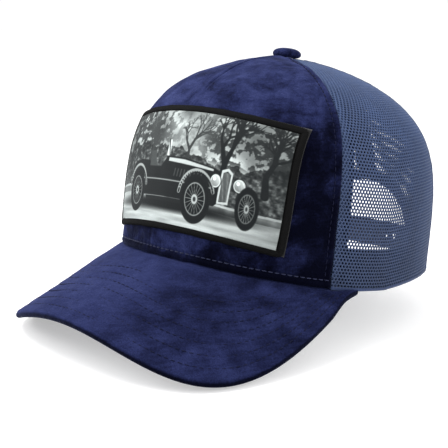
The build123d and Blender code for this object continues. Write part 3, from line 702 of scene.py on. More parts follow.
def net_block(p0, p1, mid, depth, s0=0.0, s1=None, shift=(0.0, 0.0), arch=False, keep=None):
    """Quads of a net between two seam angles. Returns vertices (n,3) and faces."""
    top = float(min(top_length(p0), top_length(mid), top_length(p1)))
    s1 = top if s1 is None else s1
    rows = int((s1 - s0) / ROW) + 2
    R = PITCH / math.sqrt(3)
    corner = np.array([(0, 1.0), (-0.5, 0.5), (-0.5, -0.5), (0, -1.0), (0.5, -0.5), (0.5, 0.5)])
    corner = corner * np.array([PITCH, ROW / 1.5])
    wmax = 120.0
    cols = int(wmax / PITCH)
    J, I = np.meshgrid(np.arange(-1, rows), np.arange(-cols, cols + 1), indexing="ij")
    cx = (I + 0.5 * (J % 2)) * PITCH + shift[0]
    cy = J * ROW + s0 + shift[1]

    def width(s):
        return crown_rz(mid, np.clip(s, 0, top))[0]

    def place(x, s, out):
        w = np.maximum(width(s), 3.0)
        phi = mid + np.degrees(x / w)
        return np.clip(phi, p0, p1), np.clip(s, s0, s1), out
    phi_c = mid + np.degrees(cx / np.maximum(width(cy), 3.0))
    pad = np.degrees(PITCH * 0.5 / np.maximum(width(cy), 3.0))
    ok = (phi_c > p0 - pad) & (phi_c < p1 + pad) & (cy > s0 - 1.2) & (cy < s1 + 1.2)
    if arch:
        r, z = crown_rz(phi_c, np.clip(cy, 0, top))
        X = r * np.sin(np.radians(phi_c))
        ok &= ~in_arch(X, z, 1.6)
    if keep is not None:
        ok &= keep(phi_c, cy)
    cx, cy = cx[ok], cy[ok]
    n = len(cx)
    big = np.stack([cx[:, None] + corner[None, :, 0], cy[:, None] + corner[None, :, 1]], -1)
    small = np.stack([cx[:, None] + HOLE * corner[None, :, 0] * 0.98, cy[:, None] + HOLE * corner[None, :, 1]], -1)
    parts = []
    for flat, out in ((big, depth + NET_T * 0.5), (small, depth + NET_T * 0.18), (small, depth - NET_T * 0.42), (big, depth - NET_T * 0.5)):
        phi, s, o = place(flat[..., 0], flat[..., 1], out)
        parts.append(crown(phi, s, o))
    V = np.stack(parts, 1)              # cell, layer, corner, xyz
    V = V.reshape(-1, 3)
    base = np.arange(n) * 24
    F = []
    for layer in range(3):
        a, b = layer * 6, (layer + 1) * 6
        for c in range(6):
            d = (c + 1) % 6
            F.append(np.stack([base + a + c, base + a + d, base + b + d, base + b + c], -1))
    F = np.concatenate(F)
    # drop what the clipping at the seams flattened
    e1 = V[F[:, 2]] - V[F[:, 0]]; e2 = V[F[:, 3]] - V[F[:, 1]]
    area = np.linalg.norm(np.cross(e1, e2), axis=1)
    F = F[area > 2e-9]
    return V, F


def join_blocks(blocks):
    V, F, base = [], [], 0
    for v, f in blocks:
        V.append(v); F.append(f + base); base += len(v)
    return np.concatenate(V), np.concatenate(F)


def tidy(V, F):
    """Merge shared corners."""
    key = np.round(V * 1e6 / 8).astype(np.int64)
    _, first, inv = np.unique(key, axis=0, return_index=True, return_inverse=True)
    F = inv.reshape(-1)[F]
    good = np.array([True] * len(F))
    srt = np.sort(F, 1)
    dup = (srt[:, 1:] == srt[:, :-1]).sum(1)
    F = F[dup == 0]
    return V[first], F


def net_panel(name, p0, p1, node, arch=False, folds=(True, True)):
    mid = 0.5 * (p0 + p1)
    blocks = [net_block(p0, p1, mid, -0.45, arch=arch)]

    # seam allowance turned back inside, about 9 mm of a second layer
    def near(which):
        def test(phi, s):
            r = crown_rz(phi, np.maximum(s, 0))[0]
            d = np.abs(phi - which) * np.pi / 180 * r
            return d < 4.2
        return test
    if folds[0]:
        blocks.append(net_block(p0, p1, mid, -1.1, shift=(0.9, 0.7), arch=arch, keep=near(p0), s0=0.3))
    if folds[1]:
        blocks.append(net_block(p0, p1, mid, -1.1, shift=(0.9, 0.7), arch=arch, keep=near(p1), s0=0.3))
    V, F = tidy(*join_blocks(blocks))
    ob = add_object(name, V, F, M_NET)
    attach(ob, "crown"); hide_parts(node)
    print("net", name, len(F), "faces")
    return ob


net_panel("side_net_left", FRONT_SEAM, SIDE_SEAM, "side_mesh_left")
net_panel("side_net_right", -SIDE_SEAM, -FRONT_SEAM, "side_mesh_right")
net_panel("rear_net_left", SIDE_SEAM, 180.0, "rear_mesh_left", arch=True)
net_panel("rear_net_right", -180.0, -SIDE_SEAM, "rear_mesh_right", arch=True)


# ---------------------------------------------------------------------------
# strips that follow the crown: tapes, hem, sweatband
# ---------------------------------------------------------------------------
def strip_along_seam(name, centre, half, depth, thick, mat, node, s0=1.0, s1=None, arch=None, wav=0.12, stitch=True):
    top = float(top_length(centre))
    s1 = top - 1.5 if s1 is None else s1
    s = np.arange(s0, s1, 1.2)
    r = crown_rz(centre, s)[0]
    x = np.array([-1, -0.97, -0.85, -0.5, -0.12, 0, 0.12, 0.5, 0.85, 0.97, 1])
    X = x[None, :] * np.minimum(half, r[:, None] * 0.34)
    phi = centre + np.degrees(X / r[:, None])
    S = np.broadcast_to(s[:, None], phi.shape)
    w = wav * waves(crown(phi, S), 12, 17)
    groove = -0.12 * np.exp(-((np.abs(x) - 0.8) / 0.06) ** 2)[None, :]
    outer = crown(phi, S, -depth + w * 0.5)
    inner = crown(phi, S, -depth - thick + w + groove + 0.25 * np.abs(x[None, :]) ** 8)
    P = np.concatenate([outer, inner[:, ::-1]], 1)
    uv = np.stack([np.concatenate([X, X[:, ::-1]], 1), np.concatenate([S, S], 1)], -1)
    ob = ring_sheet(name, P, mat, uv=uv)
    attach(ob, "crown"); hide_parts(node)
    if stitch:
        for sg, tag in ((1, "a"), (-1, "b")):
            xx = sg * 0.8 * np.minimum(half, r * 0.34)
            ph = centre + np.degrees(xx / r)
            P2 = crown(ph, s, -depth - thick + 0.05)
            N2 = -outward(ph, s)
            st = stitches(name + "_stitch_" + tag, P2, N2, M_THREAD_DARK, length=2.4, gap=0.8, r=0.2, lift=0.02, arch=0.2)
            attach(st, "crown")
    return ob


TAPE_D = 1.6
strip_along_seam("front_tape_left", FRONT_SEAM, 8.0, TAPE_D, 0.6, M_TAPE, "front_seam_tape_left")
strip_along_seam("front_tape_right", -FRONT_SEAM, 8.0, TAPE_D, 0.6, M_TAPE, "front_seam_tape_right")
strip_along_seam("rear_tape_left", SIDE_SEAM, 8.0, TAPE_D, 0.6, M_TAPE, "rear_seam_tape_left")
strip_along_seam("rear_tape_right", -SIDE_SEAM, 8.0, TAPE_D, 0.6, M_TAPE, "rear_seam_tape_right")
arch_top_s = 0.0
for q in np.linspace(0, 80, 400):
    if crown_rz(180.0, q)[1] > ARCH_Z + ARCH_W + 6.6:
        arch_top_s = float(q); break
strip_along_seam("centre_back_tape", 180.0, 8.0, TAPE_D, 0.6, M_TAPE, "centre_back_seam_tape", s0=arch_top_s)


def arch_phi(z_rel):
    """Angle from the back where the arch stands at a height (crown z)."""
    w = ARCH_W
    x = w if z_rel < ARCH_Z else math.sqrt(max(w * w - (z_rel - ARCH_Z) ** 2, 0))
    return x


def back_angle(x):
    """Angle round the crown for x at the back of the rim, in degrees."""
    x = np.asarray(x, float)
    a = math.pi - np.arcsin(np.clip(x / REACH_B, -0.999, 0.999))
    for _ in range(60):
        a = 0.5 * a + 0.5 * (math.pi - np.arcsin(np.clip(x / plan_radius(a), -0.999, 0.999)))
    return np.degrees(a)


def sweat():
    end = float(back_angle(55.4))
    phi = np.linspace(-end, end, 330)
    s = np.array([0.2, 0.6, 1.6, 3, 5, 8, 11, 14, 16.5, 18.3, 19.3, 20.2, 20.9, 21.4])
    P, S = np.meshgrid(phi, s, indexing="ij")
    base = crown(P, S)
    pad = 0.22 * waves(base, 22, 31)
    edge = np.exp(-((S - 19.3) / 0.5) ** 2) * 0.35 + np.exp(-((S - 1.6) / 0.5) ** 2) * 0.3
    bulge = 0.55 * np.sin(np.pi * np.clip(S / 21.4, 0, 1)) ** 0.5
    outer = crown(P, S, -2.55)
    inner = crown(P, S, -(3.35 + bulge + pad * 0.5 - edge))
    R = np.concatenate([outer, inner[:, ::-1]], 1)
    uv = np.stack([np.concatenate([P, P[:, ::-1]], 1) * 1.5, np.concatenate([S, S[:, ::-1]], 1)], -1)
    ob = ring_sheet("sweatband_cloth", R, M_BAND, uv=uv)
    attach(ob, "crown"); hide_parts("sweatband")
    for k, sv in enumerate((1.6, 19.3)):
        pl = np.linspace(-end + 0.5, end - 0.5, 900)
        P2 = crown(pl, np.full(900, sv), -3.5 - (0.2 if k else 0.25))
        N2 = -outward(pl, np.full(900, sv))
        st = stitches("sweatband_stitch_%d" % (k + 1), P2, N2, M_THREAD_DARK, length=2.6, gap=0.8, r=0.24, lift=0.0, arch=0.3)
        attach(st, "crown")


sweat()


def hem():
    """The mesh's turned bottom edge, from the velvet round to the rear opening."""
    end = float(back_angle(43.2))
    for side, tag in ((1, "left"), (-1, "right")):
        phi = side * np.linspace(FRONT_SEAM, end, 260)
        s = np.array([-0.4, -0.2, 0.1, 0.6, 1.0, 1.2])
        o = np.array([-0.15, 0.12, 0.22, 0.2, 0.12, -0.05])
        w = 0.06 * waves(crown(phi, 1.0), 6, 44)
        low = 0.8 * np.exp(-((np.abs(phi) - 71.5) / 5.5) ** 2)
        S = s[None, :] - low[:, None] * np.clip(0.6 - s, 0, 1)[None, :]
        outer = crown(phi[:, None], S, o[None, :] + w[:, None])
        inner = crown(phi[:, None], S, -1.9 + 0 * o[None, :])
        R = np.concatenate([outer, inner[:, ::-1]], 1)
        arc = np.radians(phi) * 88
        uv = np.stack([np.broadcast_to(arc[:, None], (260, 12)), np.broadcast_to(np.concatenate([s, s[::-1]])[None, :], (260, 12))], -1)
        ob = ring_sheet("mesh_hem_" + tag, R, M_HEM, uv=uv)
        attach(ob, "crown")


M_HEM = woven("mesh_hem", (0.036, 0.058, 0.135), (0.014, 0.024, 0.066), 0.8, False, 0.6, 0.15, 0.8)
hem()


# folded seams where the mesh panels meet
def seam_ridge(name, centre, s0):
    top = float(top_length(centre))
    s = np.arange(s0, top - 6, 1.0)
    r = crown_rz(centre, s)[0]
    x = np.array([-1.6, -1.3, -0.7, -0.22, 0, 0.22, 0.7, 1.3, 1.6])
    h = np.array([-0.3, 0.02, 0.26, 0.16, -0.12, 0.16, 0.26, 0.02, -0.3])
    phi = centre + np.degrees(x[None, :] / r[:, None])
    S = np.broadcast_to(s[:, None], phi.shape)
    w = 0.05 * waves(crown(phi, S), 5, 71)
    outer = crown(phi, S, h[None, :] + w)
    inner = crown(phi, S, np.full_like(phi, -0.75))
    R = np.concatenate([outer, inner[:, ::-1]], 1)
    uv = np.stack([np.broadcast_to(np.concatenate([x, x[::-1]])[None, :], (len(s), 18)), np.broadcast_to(s[:, None], (len(s), 18))], -1)
    ob = ring_sheet(name, R, M_HEM, uv=uv)
    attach(ob, "crown")


seam_ridge("rear_seam_left", SIDE_SEAM, 2.0)
seam_ridge("rear_seam_right", -SIDE_SEAM, 2.0)
seam_ridge("centre_back_seam", 180.0, arch_top_s)


# ---------------------------------------------------------------------------
# binding round the rear opening
# ---------------------------------------------------------------------------
def arch_path(offset, n=160):
    """Crown x, z of the arch line at an offset outside the opening, from one foot to the other."""
    w = ARCH_W + offset
    foot = 8.0
    leg = np.linspace(foot, ARCH_Z, 4)[:-1]
    th = np.linspace(0, math.pi, n)
    x = np.concatenate([np.full(3, w), w * np.cos(th), np.full(3, -w)])
    z = np.concatenate([leg, ARCH_Z + w * np.sin(th), leg[::-1]])
    return x, z


def on_back(x, z):
    """Angle and length up the meridian for crown x, z at the back."""
    phi = back_angle(x)
    s = z - rim_height(np.radians(phi))
    for _ in range(40):
        r, zz = crown_rz(phi, s)
        a = np.arcsin(np.clip(x / np.maximum(r, 1), -0.999, 0.999))
        phi = 180 - np.degrees(a)
        s = s + (z - zz) * 0.7
    return phi, s


def make_binding():
    offs = [(-0.15, -0.6), (-0.35, 0.1), (0.3, 0.75), (1.6, 0.85), (3.6, 0.8), (4.7, 0.55), (5.6, 0.72), (6.1, 0.5), (6.15, 0.05),
            (6.1, -1.35), (6.0, -1.9), (4.6, -1.75), (2.5, -1.95), (0.3, -1.9)]
    cols = []
    for off, out in offs:
        x, z = arch_path(off)
        phi, s = on_back(x, z)
        w = 0.06 * waves(crown(phi, s), 5, 61)
        cols.append(crown(phi, s, out + w))
    P = np.stack(cols, 1)
    d = np.concatenate([[0], np.cumsum(np.linalg.norm(np.diff(P[:, 3], axis=0), axis=1))]) * 1000
    uv = np.stack([np.broadcast_to(d[:, None], P.shape[:2]), np.broadcast_to(np.array([o for o, _ in offs])[None, :], P.shape[:2])], -1)
    ob = ring_sheet("rear_binding", P, M_BIND, uv=uv)
    fix_normals(ob)
    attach(ob, "crown"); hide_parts("rear_opening_binding")
    x, z = arch_path(4.7)
    phi, s = on_back(x, z)
    st = stitches("rear_binding_stitch", crown(phi, s, 0.62), outward(phi, s), M_THREAD, length=2.4, gap=0.8, r=0.26, lift=0.05)
    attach(st, "crown")


make_binding()

# ---------------------------------------------------------------------------
# visor
# ---------------------------------------------------------------------------
V_REACH, V_SLOPE, V_CURL, V_BULGE, V_END = 60.2, 26.7, 0.0093, 1.6, 77.8
V_SIDE, V_FRONT, V_ANGLE = 76.3, 96.3, 8.7
end_a = rad(V_END)
end_r = float(plan_radius(end_a))
EX, EY = end_r * math.sin(end_a), -end_r * math.cos(end_a)
TX, TY = 0.0, -(REACH_F + V_REACH)
P1X, P1Y = TX + V_FRONT, TY
P2X, P2Y = EX + V_SIDE * math.sin(rad(V_ANGLE)), EY - V_SIDE * math.cos(rad(V_ANGLE))


def visor(u, q, depth=0.0, over=0.0):
    """World point on the visor: u from -1 to 1 across, q from 0 at the rim to 1 at the edge, depth under the top face, mm."""
    u, q, depth, over = np.broadcast_arrays(np.asarray(u, float), np.asarray(q, float), np.asarray(depth, float), np.asarray(over, float))
    t, side = np.abs(u), np.where(u >= 0, 1.0, -1.0)
    a = end_a * t
    r = plan_radius(a)
    xi, yi = r * np.sin(a), -r * np.cos(a)
    b0, b1, b2, b3 = (1 - t) ** 3, 3 * (1 - t) ** 2 * t, 3 * (1 - t) * t * t, t ** 3
    xo = b0 * TX + b1 * P1X + b2 * P2X + b3 * EX
    yo = b0 * TY + b1 * P1Y + b2 * P2Y + b3 * EY
    zi = rim_height(a)
    zo = LIFT_F - math.tan(rad(V_SLOPE)) * (-yo - REACH_F) - V_CURL * xo ** 2 / 2
    w = smooth((1 - t) / 0.12)
    zo = zo * w + zi * (1 - w)
    bul = V_BULGE * w
    dx, dy = xo - xi, yo - yi
    span = np.hypot(dx, dy) + 1e-6
    s = q * span + over
    f = s / span
    z = zi + (zo - zi) * f + bul * 4 * f * (1 - f)
    slope = ((zo - zi) + bul * 4 * (1 - 2 * f)) / span
    size = np.hypot(1, slope)
    ux, uy = dx / span, dy / span
    hx = s + depth * slope / size
    return world(side * (xi + ux * hx), yi + uy * hx, z - 0.15 - depth / size)


VT = 4.4        # thickness of the covered visor
EDGE_R = VT / 2


def visor_shape(u):
    return np.clip((1 - np.abs(u)) / 0.05, 0.0, 1.0) ** 0.5


def make_visor():
    t = np.linspace(0, 1, 121)
    u_half = np.sin(t * math.pi / 2) ** 0.92
    u_half = u_half * 0.992
    u = np.concatenate([-u_half[::-1], u_half[1:]])
    q = np.concatenate([[-0.03, -0.012, 0.0, 0.012], np.linspace(0.03, 0.985, 74)])
    # top face
    Pt = []
    U, Q = np.meshgrid(u, q, indexing="ij")
    base = visor(U, Q)
    ripple = 0.16 * waves(base, 30, 81) + 0.07 * waves(base, 9, 82)
    span = np.linalg.norm(visor(U, 1.0) - visor(U, 0.0), axis=-1) * 1000
    from_edge = (1 - Q) * span
    groove = np.zeros_like(Q)
    for k in range(len(ROWS)):
        groove += 0.30 * np.exp(-((from_edge - ROWS[k]) / 0.55) ** 2) * (span > ROWS[k] + 4)
    drop = groove - ripple - 0.35 + 0.9 * np.exp(-(Q * span / 1.2) ** 2) * (Q < 0.1)
    top = visor(U, Q, drop)
    # rolled edge, over the rim and under by a few millimetres
    ang = np.linspace(-90, 90, 11)[1:-1]
    th = VT * visor_shape(u)
    edge = []
    for a in ang:
        ar = rad(a)
        rr = th / 2
        dep = rr + rr * math.sin(ar)
        ov = rr * math.cos(ar) * 0.9
        edge.append(visor(u, np.full_like(u, 0.985), dep - 0.2, ov))
    edge = np.stack(edge, 1)
    under_q = np.array([0.985, 0.975, 0.96])
    und = visor(u[:, None], under_q[None, :], (th[:, None] + np.array([0.0, 0.0, -0.5])[None, :]))
    R = np.concatenate([top, edge, und], 1)
    # inner skin so that the cover has thickness
    inner_q = np.concatenate([q, np.full(9, 0.985), under_q])
    skin_in = []
    for j in range(R.shape[1]):
        if j < len(q):
            skin_in.append(visor(u, np.full_like(u, q[j]), np.minimum(1.0, th * 0.5)))
        elif j < len(q) + 9:
            a = rad(ang[j - len(q)])
            rr = np.maximum(th / 2 - 1.0, 0.05)
            skin_in.append(visor(u, np.full_like(u, 0.985), th / 2 + rr * math.sin(a), rr * math.cos(a) * 0.9))
        else:
            skin_in.append(visor(u, np.full_like(u, under_q[j - len(q) - 9]), th - np.minimum(0.9, th * 0.4)))
    skin_in = np.stack(skin_in, 1)
    L = np.concatenate([R, skin_in[:, ::-1]], 1)
    n, m = L.shape[:2]
    uv = np.stack([np.broadcast_to((u * 130)[:, None], (n, m)), np.broadcast_to(np.arange(m)[None, :] * 0.9, (n, m))], -1)
    ob = ring_sheet("visor_velvet", L, M_VISOR, uv=uv)
    W = L.reshape(-1, 3)
    # Painted shade darkens the visor's velvet towards the right and painted light lightens it on the left; the waves
    # add random pile patches.
    nap_and_shade = 0.10 - 0.17 * smooth((W[:, 0] * 1000 + 15) / 75) + 0.06 * smooth((-W[:, 0] * 1000 - 5) / 60)
    nap_and_shade += 0.03 * waves(W, 45, 211) + 0.05 * waves(W, 14, 212) * smooth((W[:, 0] * 1000) / 50)
    # painted shade on the rolled front edge and on the underside of the cover.
    roll = np.concatenate([np.zeros(len(q)), smooth((ang + 75) / 60), np.ones(len(under_q))])
    roll = np.concatenate([roll, roll[::-1]])
    nap_and_shade = nap_and_shade.reshape(n, m) - 0.55 * roll[None, :]
    paint_nap_and_shade(ob, nap_and_shade)
    fix_normals(ob)
    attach(ob, "crown"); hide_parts("visor_top_cover")
    # under cover
    uq = np.concatenate([np.linspace(-0.03, 0.95, 60), [0.965]])
    U2, Q2 = np.meshgrid(u, uq, indexing="ij")
    TH = np.broadcast_to(th[:, None], U2.shape)
    span2 = np.linalg.norm(visor(U2, 1.0) - visor(U2, 0.0), axis=-1) * 1000
    fe = (1 - Q2) * span2
    g2 = np.zeros_like(Q2)
    for k in range(len(ROWS)):
        g2 += 0.22 * np.exp(-((fe - ROWS[k]) / 0.6) ** 2) * (span2 > ROWS[k] + 4)
    low = visor(U2, Q2, TH - 0.25 - g2 + 0.05 * waves(visor(U2, Q2), 18, 84))
    high = visor(U2, Q2, np.maximum(TH - 1.0, TH * 0.5))
    L2 = np.concatenate([low, high[:, ::-1]], 1)
    uv2 = np.stack([np.broadcast_to((u * 130)[:, None], L2.shape[:2]), np.broadcast_to(np.concatenate([fe[len(u) // 2], fe[len(u) // 2][::-1]])[None, :], L2.shape[:2])], -1)
    ob = ring_sheet("visor_under_cloth", L2, M_UNDER, uv=uv2)
    fix_normals(ob)
    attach(ob, "crown"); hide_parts("visor_under_cover")
    # board inside
    bq = np.linspace(0.0, 0.955, 30)
    U3, Q3 = np.meshgrid(u[20:-20], bq, indexing="ij")
    T3 = np.broadcast_to(th[20:-20][:, None], U3.shape)
    L3 = np.concatenate([visor(U3, Q3, T3 * 0.30), visor(U3, Q3, T3 * 0.70)[:, ::-1]], 1)
    ob = ring_sheet("visor_stiffener", L3, M_BOARD)
    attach(ob, "crown"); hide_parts("visor_board")
    # stitch rows, top and under
    for k, d in enumerate(ROWS):
        uu = np.linspace(-0.985, 0.985, 900)
        sp = np.linalg.norm(visor(uu, 1.0) - visor(uu, 0.0), axis=-1) * 1000
        ok = sp > d + 5.0
        uu, sp = uu[ok], sp[ok]
        qq = 1 - d / sp
        Pn = visor(uu, qq, -0.6)
        for tag, dep, flip in (("top", -0.02, 1), ("under", VT - 0.35, -1)):
            P2 = visor(uu, qq, dep)
            a = np.gradient(P2, axis=0)
            b = visor(uu, np.minimum(qq + 0.02, 1), dep) - P2
            N2 = np.cross(a, b); N2 /= np.linalg.norm(N2, axis=1)[:, None]
            N2 *= np.sign((N2 * (Pn - P2)).sum(1) + 1e-12)[:, None] * flip
            if tag == "under":
                N2 = -np.abs(1) * np.where((N2[:, 2:3] > 0), N2, -N2) * 1.0
            else:
                N2 = np.where((N2[:, 2:3] > 0), N2, -N2)
            st = stitches("visor_stitch_%s_%d" % (tag, k + 1), P2, N2, M_THREAD_DARK if tag == "top" else M_THREAD_DARK, length=2.7, gap=0.9, r=0.2, lift=0.0, arch=0.22)
            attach(st, "crown")


ROWS = [7.0, 14.0, 21.0, 28.0, 35.0, 42.0, 49.0]
make_visor()

# ---------------------------------------------------------------------------
# button
# ---------------------------------------------------------------------------
def make_button():
    prof = [(0.02, 5.62), (1.2, 5.6), (2.6, 5.55), (4.2, 5.42), (5.6, 5.12), (6.8, 4.62), (7.75, 3.95), (8.35, 3.1), (8.5, 2.3), (8.35, 1.45), (7.8, 0.75), (7.0, 0.25), (6.0, -0.02), (5.2, 0.1),
            (5.4, 0.7), (6.9, 1.2), (7.5, 2.2), (6.9, 3.4), (4.4, 4.4), (0.02, 4.75)]
    prof = np.array(prof)
    n = 72
    th = np.linspace(0, 2 * math.pi, n, endpoint=False)
    r = prof[:, 0][None, :] * np.ones((n, 1))
    z = prof[:, 1][None, :] * np.ones((n, 1))
    k = np.arange(len(prof))
    side = np.exp(-((k - 10.5) / 3.0) ** 2)[None, :]
    pleat = (0.13 * np.sin(th * 17 + 0.7 * np.sin(th * 3)) + 0.10 * np.sin(th * 11 + 1.0))[:, None] * side
    sag = 0.10 * np.sin(th * 2 + 0.4)[:, None] * np.exp(-((k - 5.0) / 3.0) ** 2)[None, :]
    r = r + np.where(k[None, :] < 14, pleat, 0)
    z = z + np.where(k[None, :] < 14, sag, 0)
    P = world(r * np.sin(th)[:, None], -r * np.cos(th)[:, None], HEIGHT - 0.1 + z)
    rows, cols = P.shape[:2]
    F = grid_faces(rows, cols, wrap_rows=True)
    uv = np.stack([np.broadcast_to(th[:, None] * 8, (rows, cols)), np.broadcast_to(k[None, :] * 1.0, (rows, cols))], -1)
    ob = add_object("button_velvet", P.reshape(-1, 3), F, M_BUTTON, uv=uv)
    fix_normals(ob)
    sub = ob.modifiers.new("sub", "SUBSURF"); sub.levels = 1; sub.render_levels = 1
    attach(ob, "crown"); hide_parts("button_cover")


make_button()

for node in ("button_core", "button_rivet", "button_washer"):
    o = frame["nodes"][node]
    o.data.materials.clear(); o.data.materials.append(M_METAL)


# ---------------------------------------------------------------------------
# stiff lining of the front panel
# ---------------------------------------------------------------------------
def make_backing():
    phi = np.linspace(-FRONT_SEAM + 5.6, FRONT_SEAM - 5.6, 110)
    f = np.linspace(0, 1, 110)
    P, Fr = np.meshgrid(phi, f, indexing="ij")
    top = top_length(P) - 3.5
    S = 3.5 + (top - 3.5) * Fr
    w = 0.12 * waves(crown(P, S), 20, 91)
    outer = crown(P, S, -1.3)
    inner = crown(P, S, -1.85 + w * 0.5)
    R = np.concatenate([outer, inner[:, ::-1]], 1)
    uv = np.stack([np.concatenate([P, P[:, ::-1]], 1) * 1.5, np.concatenate([S, S[:, ::-1]], 1)], -1)
    ob = ring_sheet("front_lining", R, M_BUCKRAM, uv=uv)
    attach(ob, "crown"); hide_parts("front_backing")


make_backing()

# ---------------------------------------------------------------------------
# patch
# ---------------------------------------------------------------------------
PATCH_X, PATCH_W, PATCH_LO, PATCH_HI, RISE_LO, RISE_HI, BORDER = 7.2, 58.8, 15.8, 82.7, 5.8, 6.2, 3.8


def patch_to_crown(x, z):
    """Angle and length up the meridian for crown x, z on the front."""
    x, z = np.broadcast_arrays(np.asarray(x, float), np.asarray(z, float))
    phi = np.degrees(np.arcsin(np.clip(x / 86.0, -0.99, 0.99)))
    s = z - rim_height(np.radians(phi))
    for _ in range(60):
        r, zz = crown_rz(phi, s)
        phi = 0.5 * phi + 0.5 * np.degrees(np.arcsin(np.clip(x / np.maximum(r, 1), -0.995, 0.995)))
        s = s + (z - zz) * 0.6
    return phi, s


def patch_point(fx, fy, inset=0.0, out=0.6):
    """fx from -1 to 1, fy from 0 to 1 over the patch inset by that much."""
    fx, fy = np.broadcast_arrays(np.asarray(fx, float), np.asarray(fy, float))
    lo = PATCH_LO + inset + RISE_LO * (1 - fx ** 2)
    hi = PATCH_HI - inset + RISE_HI * (1 - fx ** 2)
    belly = 1.4 * 4 * fy * (1 - fy)
    x = PATCH_X + fx * (PATCH_W - inset) + belly * fx * np.abs(fx)
    z = lo + (hi - lo) * fy
    phi, s = patch_to_crown(x, z)
    return phi, s


def patch_lift(fx, fy):
    """Lift of the stiff patch over the small hollows of the velvet; it is multiplied by zero, so it always returns
    zero.
    """
    return 0.25 * np.exp(-((fx * 66) / 30) ** 2) * 0


def make_picture(W, H):
    """A plain grey landscape with an old open car of no make, drawn from simple shapes."""
    SS = 2
    w, h = W * SS, H * SS
    yy, xx = np.mgrid[0:h, 0:w]
    X = xx / w * 2.0          # 0..2 across
    Y = 1 - yy / h            # 0 bottom, 1 top
    rng = np.random.default_rng(5)

    def fn(sx, sy, seed, octaves=4):
        g = np.random.default_rng(seed)
        tot = np.zeros((h, w)); amp = 1.0; norm = 0
        for o in range(octaves):
            nx, ny = int(sx * 2 ** o) + 2, int(sy * 2 ** o) + 2
            grid = g.random((ny, nx))
            gx = xx / w * (nx - 1.001); gy = yy / h * (ny - 1.001)
            i0, j0 = gy.astype(int), gx.astype(int)
            fy, fx = gy - i0, gx - j0
            fy, fx = fy * fy * (3 - 2 * fy), fx * fx * (3 - 2 * fx)
            v = grid[i0, j0] * (1 - fy) * (1 - fx) + grid[i0 + 1, j0] * fy * (1 - fx) + grid[i0, j0 + 1] * (1 - fy) * fx + grid[i0 + 1, j0 + 1] * fy * fx
            tot += amp * v; norm += amp; amp *= 0.55
        return tot / norm

    img = np.zeros((h, w))
    cloud = fn(7, 4, 1, 5)
    sky = 0.56 + 0.34 * (cloud - 0.4) * 2.2
    img[:] = np.clip(sky, 0.30, 0.92)
    # far wood
    treeline = 0.60 + 0.10 * (fn(9, 1, 2, 4) - 0.5) + 0.05 * np.sin(X * 3.1)
    wood = Y < treeline + 0.12 * fn(30, 12, 3, 3)
    img = np.where(wood, 0.14 + 0.62 * fn(70, 40, 4, 4) ** 1.9, img)
    leaf = fn(46, 26, 14, 4) + 0.45 * (fn(5, 3, 15, 2) - 0.5)
    crownmask = smooth((leaf - 0.47) / 0.10) * smooth((Y - 0.55) / 0.10) * (1 - 0.75 * smooth((X - 0.55) / 0.45) * smooth((1.45 - X) / 0.3))
    img = img * (1 - 0.72 * crownmask) + 0.10 * crownmask * (0.6 + 0.8 * fn(120, 70, 16, 2))
    # ground
    ground = 0.74 + 0.16 * (fn(6, 30, 6, 4) - 0.5) * 2
    edge = 0.30 + 0.04 * np.sin(X * 2.2 + 0.8)
    img = np.where(Y < edge, np.clip(ground, 0.4, 0.95), img)
    band = (Y < edge - 0.02) & (Y > edge - 0.075)
    img = np.where(band, 0.40 + 0.2 * fn(40, 8, 7, 3), img)

    def blend(mask, value):
        nonlocal img
        img = img * (1 - mask) + value * mask

    def seg(x0, y0, x1, y1, r0, r1, value, soft=0.0022):
        vx, vy = x1 - x0, y1 - y0
        L2 = vx * vx + vy * vy + 1e-12
        t = np.clip(((X - x0) * vx + (Y - y0) * vy) / L2, 0, 1)
        d = np.hypot(X - (x0 + vx * t), Y - (y0 + vy * t))
        blend(np.clip((r0 + (r1 - r0) * t - d) / soft + 0.5, 0, 1), value)

    def seg_box(x0, y0, x1, y1, r0, r1, value):
        # the same, only inside the segment's own box: quick for twigs
        pad = max(r0, r1) + 0.006
        a = max(0, int((min(x0, x1) - pad) / 2.0 * w)); b = min(w, int((max(x0, x1) + pad) / 2.0 * w) + 2)
        c = max(0, int((1 - max(y0, y1) - pad) * h)); d = min(h, int((1 - min(y0, y1) + pad) * h) + 2)
        if b <= a or d <= c:
            return
        sx, sy = X[c:d, a:b], Y[c:d, a:b]
        vx, vy = x1 - x0, y1 - y0
        t = np.clip(((sx - x0) * vx + (sy - y0) * vy) / (vx * vx + vy * vy + 1e-12), 0, 1)
        dist = np.hypot(sx - (x0 + vx * t), sy - (y0 + vy * t))
        m = np.clip((r0 + (r1 - r0) * t - dist) / 0.0022 + 0.5, 0, 1)
        img[c:d, a:b] = img[c:d, a:b] * (1 - m) + value * m

    def branch(x, y, ang, length, r, depth, value):
        x1, y1 = x + length * math.cos(ang), y + length * math.sin(ang)
        seg_box(x, y, x1, y1, r, r * 0.68, value)
        if depth == 0 or length < 0.012:
            return
        for k in range(2 if rng.random() < 0.6 else 3):
            branch(x1, y1, ang + rng.normal(0, 0.45), length * rng.uniform(0.62, 0.86), r * 0.66, depth - 1, value + 0.01)

    for (tx, ty, sc, val) in ((0.16, 0.50, 0.16, 0.20), (0.60, 0.55, 0.13, 0.26), (1.50, 0.40, 0.21, 0.10), (1.86, 0.42, 0.17, 0.14), (1.12, 0.56, 0.12, 0.24)):
        branch(tx, ty, math.pi / 2 + rng.normal(0, 0.06), sc, 0.030 * sc / 0.17, 6, val)

    def ellipse(cx, cy, rx, ry, value, soft=0.006, rot=0.0):
        c, s = math.cos(rot), math.sin(rot)
        dx, dy = X - cx, Y - cy
        u, v = (dx * c + dy * s) / rx, (-dx * s + dy * c) / ry
        d = (1 - np.hypot(u, v)) * min(rx, ry)
        blend(np.clip(d / soft + 0.5, 0, 1), value)

